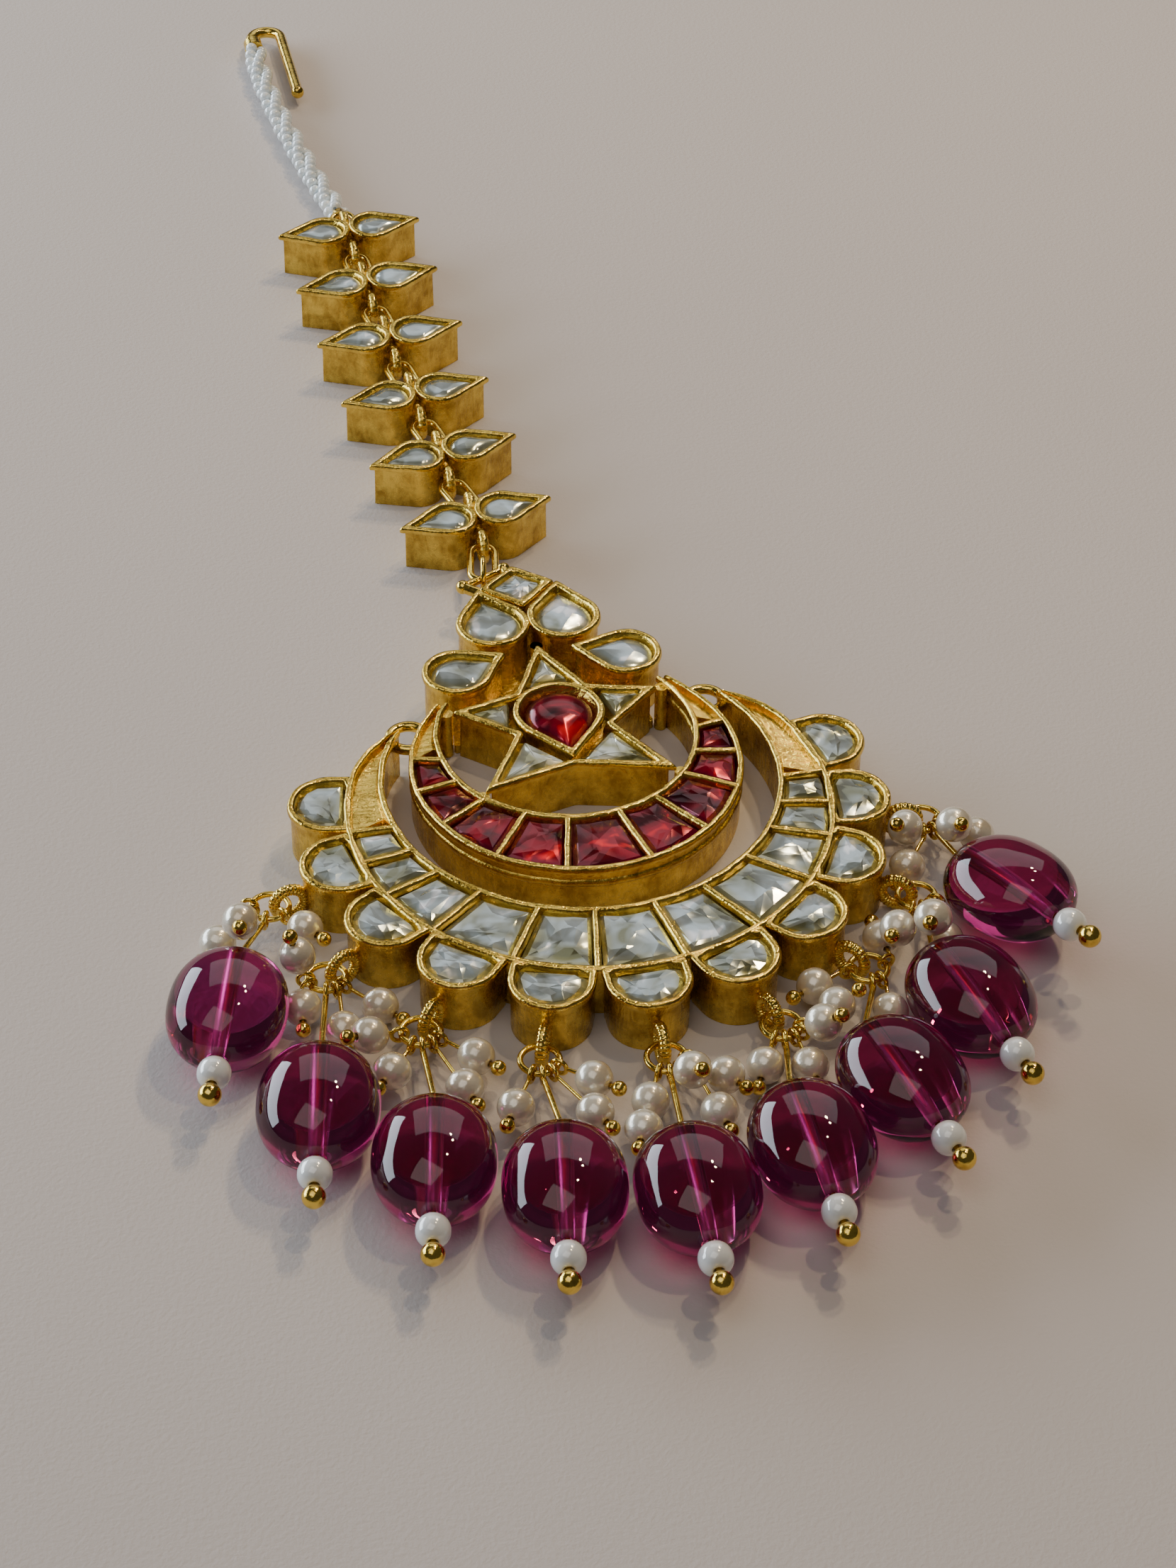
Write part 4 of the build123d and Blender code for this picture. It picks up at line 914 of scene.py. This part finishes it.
class TIKKA_OT_metal(PieceOperator, bpy.types.Operator):
    """Builds the pendant's crescents, scallops, star, collets and fittings"""
    bl_idname = "tikka.metal"
    bl_label = "Pendant metal"

    def build(self, context):
        self.add_crescents()
        self.add_collets()
        self.add_back()
        self.add_bails()
        self.add_loops()

    def add(self, name, parts, finish="gold", crease=METAL_CREASE):
        """One object of the pendant's setting."""
        add_mesh(name, parts, finish, crease, "pendant_frame")

    def add_crescents(self):
        """The two crescents with the dividers between their stones; the inner one is moulded."""
        for name, crescent, moulded in (("outer_crescent", OUTER_CRESCENT, False),
                                        ("inner_crescent", INNER_CRESCENT, True)):
            self.add(name, [crescent_body(crescent, moulded)] + divider_bars(crescent))

    def add_collets(self):
        """The scallops, the star, the centre, the crown, the side leaves and the kite."""
        cups = [collet(lambda m, b=b: scallop_outline(b, m), RIM_HEIGHT - 0.03)
                for b in scallop_bearings()]
        self.add("scallop_collets", cups)
        star = [point for pair in zip(STAR_CORNERS, STAR_TIPS) for point in pair]
        self.add("star_collet", [cornered_collet(star, RIM_HEIGHT - 0.05)])
        centre = collet(lambda m: teardrop_outline(CENTRE_DROP, m), RIM_HEIGHT + 0.02, bevel=0.5)
        self.add("centre_collet", [centre])
        for name, drops in (("crown_collets", CROWN_DROPS), ("side_collets", SIDE_DROPS)):
            self.add(name, [collet(lambda m, d=d: teardrop_outline(d, m), RIM_HEIGHT) for d in drops])
        self.add("kite_collet", [cornered_collet(KITE, RIM_HEIGHT - 0.04)])

    def add_back(self):
        """The plate behind the star and the crown, and the posts that solder the setting together."""
        plate = softened(BACK_PLATE, 0.4)
        middle = plate.mean(axis=0)
        rings = np.stack([at_height(plate, z) for z in (0.0, PLATE_THICKNESS)])
        back = surface(rings, False, (*middle, 0.0), (*middle, PLATE_THICKNESS))
        posts = [wire([[s * x, y, 0.02], [s * x, y, RIM_HEIGHT - 0.5]], POST_RADIUS)
                 for x, y in SOLDER_POSTS for s in (1, -1)]
        self.add("back_plate", [back] + posts)

    def add_bails(self):
        """The ribbed bail under each scallop, upright and in line with its bearing."""
        bails = []
        for drop in DROPS:
            bearing = SCALLOP_PITCH * drop.scallop
            centre = np.append(polar(BAIL_CENTRE, bearing), RING_HEIGHT)
            bails.append(ring(centre, heading(bearing + 90), BAIL_SIZE, BAIL_WIRE, ribs=26,
                              rib_height=0.07, steps=156))
        self.add("drop_bails", bails, "wire", ROUND_CREASE)

    def add_loops(self):
        """The two side loops, and the top bar with a lug and a ball at each end."""
        parts = [ring((s * SIDE_LOOP[0], SIDE_LOOP[1], SIDE_LOOP_HEIGHT), (0, 0, 1), SIDE_LOOP_SIZE,
                      SIDE_LOOP_WIRE) for s in (1, -1)]
        run = np.array([np.cos(np.radians(BAR_TURN)), np.sin(np.radians(BAR_TURN)), 0.0])
        middle = np.array([*BAR_CENTRE, BAR_HEIGHT])
        ends = [middle + run * (s * BAR_LENGTH / 2) for s in (1, -1)]
        parts.append(wire(ends, BAR_WIRE))
        for end in ends:
            parts.append(wire([[end[0] * 0.55, end[1] - LUG_REACH, end[2]], end], LUG_WIRE))
            parts.append(ball(end, BAR_BALL))
        self.add("loops_and_lugs", parts, "wire", ROUND_CREASE)


class TIKKA_OT_chain(PieceOperator, bpy.types.Operator):
    """Builds the pairs of leaf collets and gives the rings, pins and hook their gold"""
    bl_idname = "tikka.chain"
    bl_label = "Chain and wire"

    def build(self, context):
        for number, pair in enumerate(PAIRS, start=1):
            parts = [collet(lambda m, d=d: teardrop_outline(d, m, LEAF_POINT_ROUNDING), LINK_HEIGHT,
                            seed=WAVE_SEED + number) for d in leaf_drops(pair)]
            for side in (1, -1):
                centre = (pair.x, pair.y + side * EYE_OFFSET, EYE_HEIGHT)
                parts.append(ring(centre, (1, 0, 0), EYE_SIZE, EYE_WIRE, ribs=18, rib_height=0.05,
                                  steps=108))
            parts.append(ball((pair.x, pair.y, EYE_HEIGHT), SOLDER_RADIUS, (0, 1, 0), SOLDER_STRETCH))
            add_mesh(f"leaf_pair_{number}", parts, "gold", METAL_CREASE, f"leaf_link_{number}")
        for name in WIRE_NODES:
            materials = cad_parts[name].data.materials
            materials.clear()
            materials.append(MATERIALS["wire"])


class TIKKA_OT_stones(PieceOperator, bpy.types.Operator):
    """Builds the foiled stones of the pendant and the chain"""
    bl_idname = "tikka.stones"
    bl_label = "Stones"

    def build(self, context):
        depth = context.scene.tikka_stones.table_depth / MM
        for node, crescent, finish in (("channel_stones", OUTER_CRESCENT, "clear"),
                                       ("crescent_rubies", INNER_CRESCENT, "ruby")):
            stones = [cut_stone(outline, RIM_HEIGHT, depth, seed=10 + 7 * i)
                      for i, outline in enumerate(channel_outlines(crescent))]
            add_stones(node, stones, finish)
        stones = [cut_stone(scallop_outline(b, STONE_MARGIN)[::6], RIM_HEIGHT, depth, seed=5 * i)
                  for i, b in enumerate(scallop_bearings())]
        add_stones("scallop_stones", stones, "clear")
        for number, base in enumerate(STAR_BASE_MARGINS):
            corners = [STAR_CORNERS[number], STAR_TIPS[number], STAR_CORNERS[(number + 1) % 5]]
            arm = inset(corners, [STONE_MARGIN, STONE_MARGIN, base])
            arm = softened(arm, CORNER_ROUNDING, per_side=2, per_corner=3)
            stone = cut_stone(arm, RIM_HEIGHT - 0.05, depth, seed=40 + number)
            add_stones(f"star_stone_{number + 1}", [stone], "star")
        centre = teardrop_outline(CENTRE_DROP, STONE_MARGIN + 0.3, rounding=0.5)
        dome = domed_stone(centre, RIM_HEIGHT, depth=-0.25, steps=14, plump=1.5)
        add_stones("centre_ruby", [dome], "ruby", ROUND_CREASE)
        for name, drops in (("crown_stone", CROWN_DROPS), ("side_stone", SIDE_DROPS)):
            for number, drop in enumerate(drops, start=1):
                stone = domed_stone(teardrop_outline(drop, STONE_MARGIN), RIM_HEIGHT, depth)
                add_stones(f"{name}_{number}", [stone], "clear", ROUND_CREASE)
        kite = softened(inset(KITE, STONE_MARGIN), CORNER_ROUNDING, per_side=2, per_corner=3)
        add_stones("kite_stone", [cut_stone(kite, RIM_HEIGHT, depth, seed=77)], "clear")
        for number, pair in enumerate(PAIRS, start=1):
            for side, drop in zip("ba", leaf_drops(pair)):
                leaf = teardrop_outline(drop, STONE_MARGIN - 0.05)
                stone = domed_stone(leaf, LINK_HEIGHT, depth - 0.1)
                add_stones(f"leaf_stone_{number}{side}", [stone], "clear", ROUND_CREASE)


class TIKKA_OT_drops(PieceOperator, bpy.types.Operator):
    """Builds the glass drops, their tip beads and the pearls"""
    bl_idname = "tikka.drops"
    bl_label = "Drops and pearls"

    def build(self, context):
        rng = np.random.default_rng(PEARL_SEED)
        around, along = 96, 72
        in_bore = np.repeat(np.arange(along + BORE_RINGS) >= along - 1, around).astype(np.int32)
        tips = []
        for number, drop in enumerate(DROPS, start=1):
            centre, axis = bead_centre(drop), heading(drop.axis, drop.rise)
            glass = bead(centre, axis, BEAD_HALF_LENGTH, BEAD_HALF_WIDTH, BEAD_HALF_THICKNESS, BEAD_HOLE,
                         BEAD_POWER, around, along)
            piece = add_mesh(f"glass_drop_{number}", [glass], "glass", ROUND_CREASE, f"drop_bead_{number}")
            piece.data.materials.append(MATERIALS["bore"])
            piece.data.polygons.foreach_set("material_index", in_bore)
            tip = centre + axis * (BEAD_HALF_LENGTH + BEAD_GAP + TIP_HALF_LENGTH)
            tips.append(bead(tip, axis, TIP_HALF_LENGTH, TIP_RADIUS, TIP_RADIUS, TIP_HOLE, TIP_POWER,
                             around=36, along=24))
        add_mesh("white_tip_beads", tips, "tip", ROUND_CREASE, "tip_beads")
        pearls = []
        for pin in PEARL_PINS:
            run, centres = pearl_run(pin)
            sizes = PEARL_RADIUS * rng.uniform(0.95, 1.0, (len(centres), 3))
            pearls += [bead(centre, run, *size, PEARL_HOLE, power=2.0, around=48, along=32)
                       for centre, size in zip(centres, sizes)]
        add_mesh("round_pearls", pearls, "pearl", ROUND_CREASE, "pearls")


class TIKKA_OT_strand(PieceOperator, bpy.types.Operator):
    """Builds the twisted rows of seed beads"""
    bl_idname = "tikka.strand"
    bl_label = "Seed bead strand"

    def build(self, context):
        props = context.scene.tikka_strand
        radius, pitch, twist = props.bead_radius / MM, props.bead_pitch / MM, props.twist / MM
        line = strand_line()
        side, rise = frames_along(line)
        reach = STRAND_RADIUS - radius
        beads = []
        for ply in range(props.plies):
            angle = 2 * np.pi * (travelled(line) / twist + ply / props.plies)[:, None]
            row = line + reach * (np.cos(angle) * side + np.sin(angle) * rise)
            count = int(travelled(row)[-1] / pitch)
            seats = resampled(row, 2 * count + 1)[1::2]
            ways = unit(np.gradient(seats, axis=0))
            beads += [bead(seat, way, SEED_HALF_LENGTH, radius, radius, SEED_HOLE, SEED_POWER,
                           around=14, along=8) for seat, way in zip(seats, ways)]
        add_mesh("seed_beads", beads, "seed", ROUND_CREASE, "seed_bead_strand")


def placement(x_axis, y_axis, z_axis, place):
    """The matrix that turns an object to three axes and moves it to a place in millimetres."""
    columns = np.column_stack([x_axis, y_axis, z_axis, np.asarray(place, float) * MM])
    return Matrix(np.vstack([columns, (0, 0, 0, 1)]).tolist())


def area_light(name, place, target, width, height, power, colour):
    """A rectangular lamp turned to face a target, all in millimetres."""
    lamp = bpy.data.lights.new(name, "AREA")
    lamp.shape, lamp.size, lamp.size_y = "RECTANGLE", width * MM, height * MM
    lamp.energy, lamp.color = power, colour
    back = unit(np.subtract(place, target))
    across = unit(np.cross((0, 0, 1), back))
    lit = bpy.data.objects.new(name, lamp)
    lit.matrix_world = placement(across, np.cross(back, across), back, place)
    bpy.context.scene.collection.objects.link(lit)


class TIKKA_OT_stage(PieceOperator, bpy.types.Operator):
    """Builds the plain floor, the soft lights and the camera"""
    bl_idname = "tikka.stage"
    bl_label = "Stage"

    def build(self, context):
        props = context.scene.tikka_stage
        self.add_floor(context.scene, tuple(props.floor_colour))
        for name, place, target, width, height, share, colour in LAMPS:
            area_light(name, place, target, width, height, share * props.lamp_power, colour)
        world = bpy.data.worlds.new("studio")
        world.use_nodes = True
        background = world.node_tree.nodes["Background"]
        background.inputs["Color"].default_value = WORLD_COLOUR
        background.inputs["Strength"].default_value = WORLD_STRENGTH
        context.scene.world = world
        self.add_camera(context.scene, props.lens)

    def add_floor(self, scene, tone):
        """One rectangle with a faint grain, in a colour that drifts a little."""
        finish = Finish("plain_floor", Roughness=0.9)
        soft = finish.noise(14.0, 2.0, 0.5)
        grain = finish.noise(2500.0, 2.0, 0.6)
        finish.set(Base_Color=finish.between(soft, tone, tuple(c * 0.9 for c in tone)),
                   Normal=finish.bump(grain, 0.2, 0.0002))
        corners = [(-FLOOR_HALF_WIDTH, FLOOR_NEAR), (FLOOR_HALF_WIDTH, FLOOR_NEAR),
                   (FLOOR_HALF_WIDTH, FLOOR_FAR), (-FLOOR_HALF_WIDTH, FLOOR_FAR)]
        mesh = bpy.data.meshes.new("floor")
        mesh.from_pydata((at_height(corners, FLOOR_LEVEL) * MM).tolist(), [], [(0, 1, 2, 3)])
        mesh.materials.append(finish.material)
        floor = bpy.data.objects.new("floor", mesh)
        scene.collection.objects.link(floor)

    def add_camera(self, scene, focal_length):
        """The camera at its place, turned by where it looks and what it holds upright."""
        lens = bpy.data.cameras.new("camera")
        lens.sensor_fit, lens.sensor_height, lens.lens = "VERTICAL", SENSOR_HEIGHT, focal_length
        lens.clip_start, lens.clip_end = 0.01, 10.0
        forward, upward = np.array(CAMERA_FORWARD), np.array(CAMERA_UPWARD)
        camera = bpy.data.objects.new("camera", lens)
        camera.matrix_world = placement(np.cross(forward, upward), upward, -forward, CAMERA_PLACE)
        scene.collection.objects.link(camera)
        scene.camera = camera


class TIKKA_PT_panel(bpy.types.Panel):
    """The steps that build the piece, with their sizes and colours"""
    bl_idname = "TIKKA_PT_panel"
    bl_label = "Maang Tikka"
    bl_space_type = "VIEW_3D"
    bl_region_type = "UI"
    bl_category = "Maang Tikka"

    def draw(self, context):
        scene = context.scene
        for group, operators in ((scene.tikka_metal, (TIKKA_OT_metal, TIKKA_OT_chain)),
                                 (scene.tikka_stones, (TIKKA_OT_stones,)),
                                 (scene.tikka_drops, (TIKKA_OT_drops,)),
                                 (scene.tikka_strand, (TIKKA_OT_strand,)),
                                 (scene.tikka_stage, (TIKKA_OT_stage,))):
            box = self.layout.box()
            for name in group.bl_rna.properties.keys():
                if name not in ("rna_type", "name"):
                    box.prop(group, name)
            for operator in operators:
                box.operator(operator.bl_idname)


# The scene's property groups, then every class in the order that it is registered.
GROUPS = {"tikka_metal": MetalProps, "tikka_stones": StoneProps, "tikka_drops": DropProps,
          "tikka_strand": StrandProps, "tikka_stage": StageProps}
CLASSES = (*GROUPS.values(), TIKKA_OT_metal, TIKKA_OT_chain, TIKKA_OT_stones, TIKKA_OT_drops,
           TIKKA_OT_strand, TIKKA_OT_stage, TIKKA_PT_panel)


def register():
    """Registers the classes and gives the scene its property groups."""
    for cls in CLASSES:
        bpy.utils.register_class(cls)
    for name, group in GROUPS.items():
        setattr(bpy.types.Scene, name, bpy.props.PointerProperty(type=group))


def unregister():
    """Takes back what register did."""
    for name in GROUPS:
        delattr(bpy.types.Scene, name)
    for cls in reversed(CLASSES):
        bpy.utils.unregister_class(cls)


def main():
    """Builds every piece and the stage."""
    register()
    make_materials()
    for step in (bpy.ops.tikka.metal, bpy.ops.tikka.chain, bpy.ops.tikka.stones, bpy.ops.tikka.drops,
                 bpy.ops.tikka.strand, bpy.ops.tikka.stage):
        step()


if __name__ == "__main__":
    main()
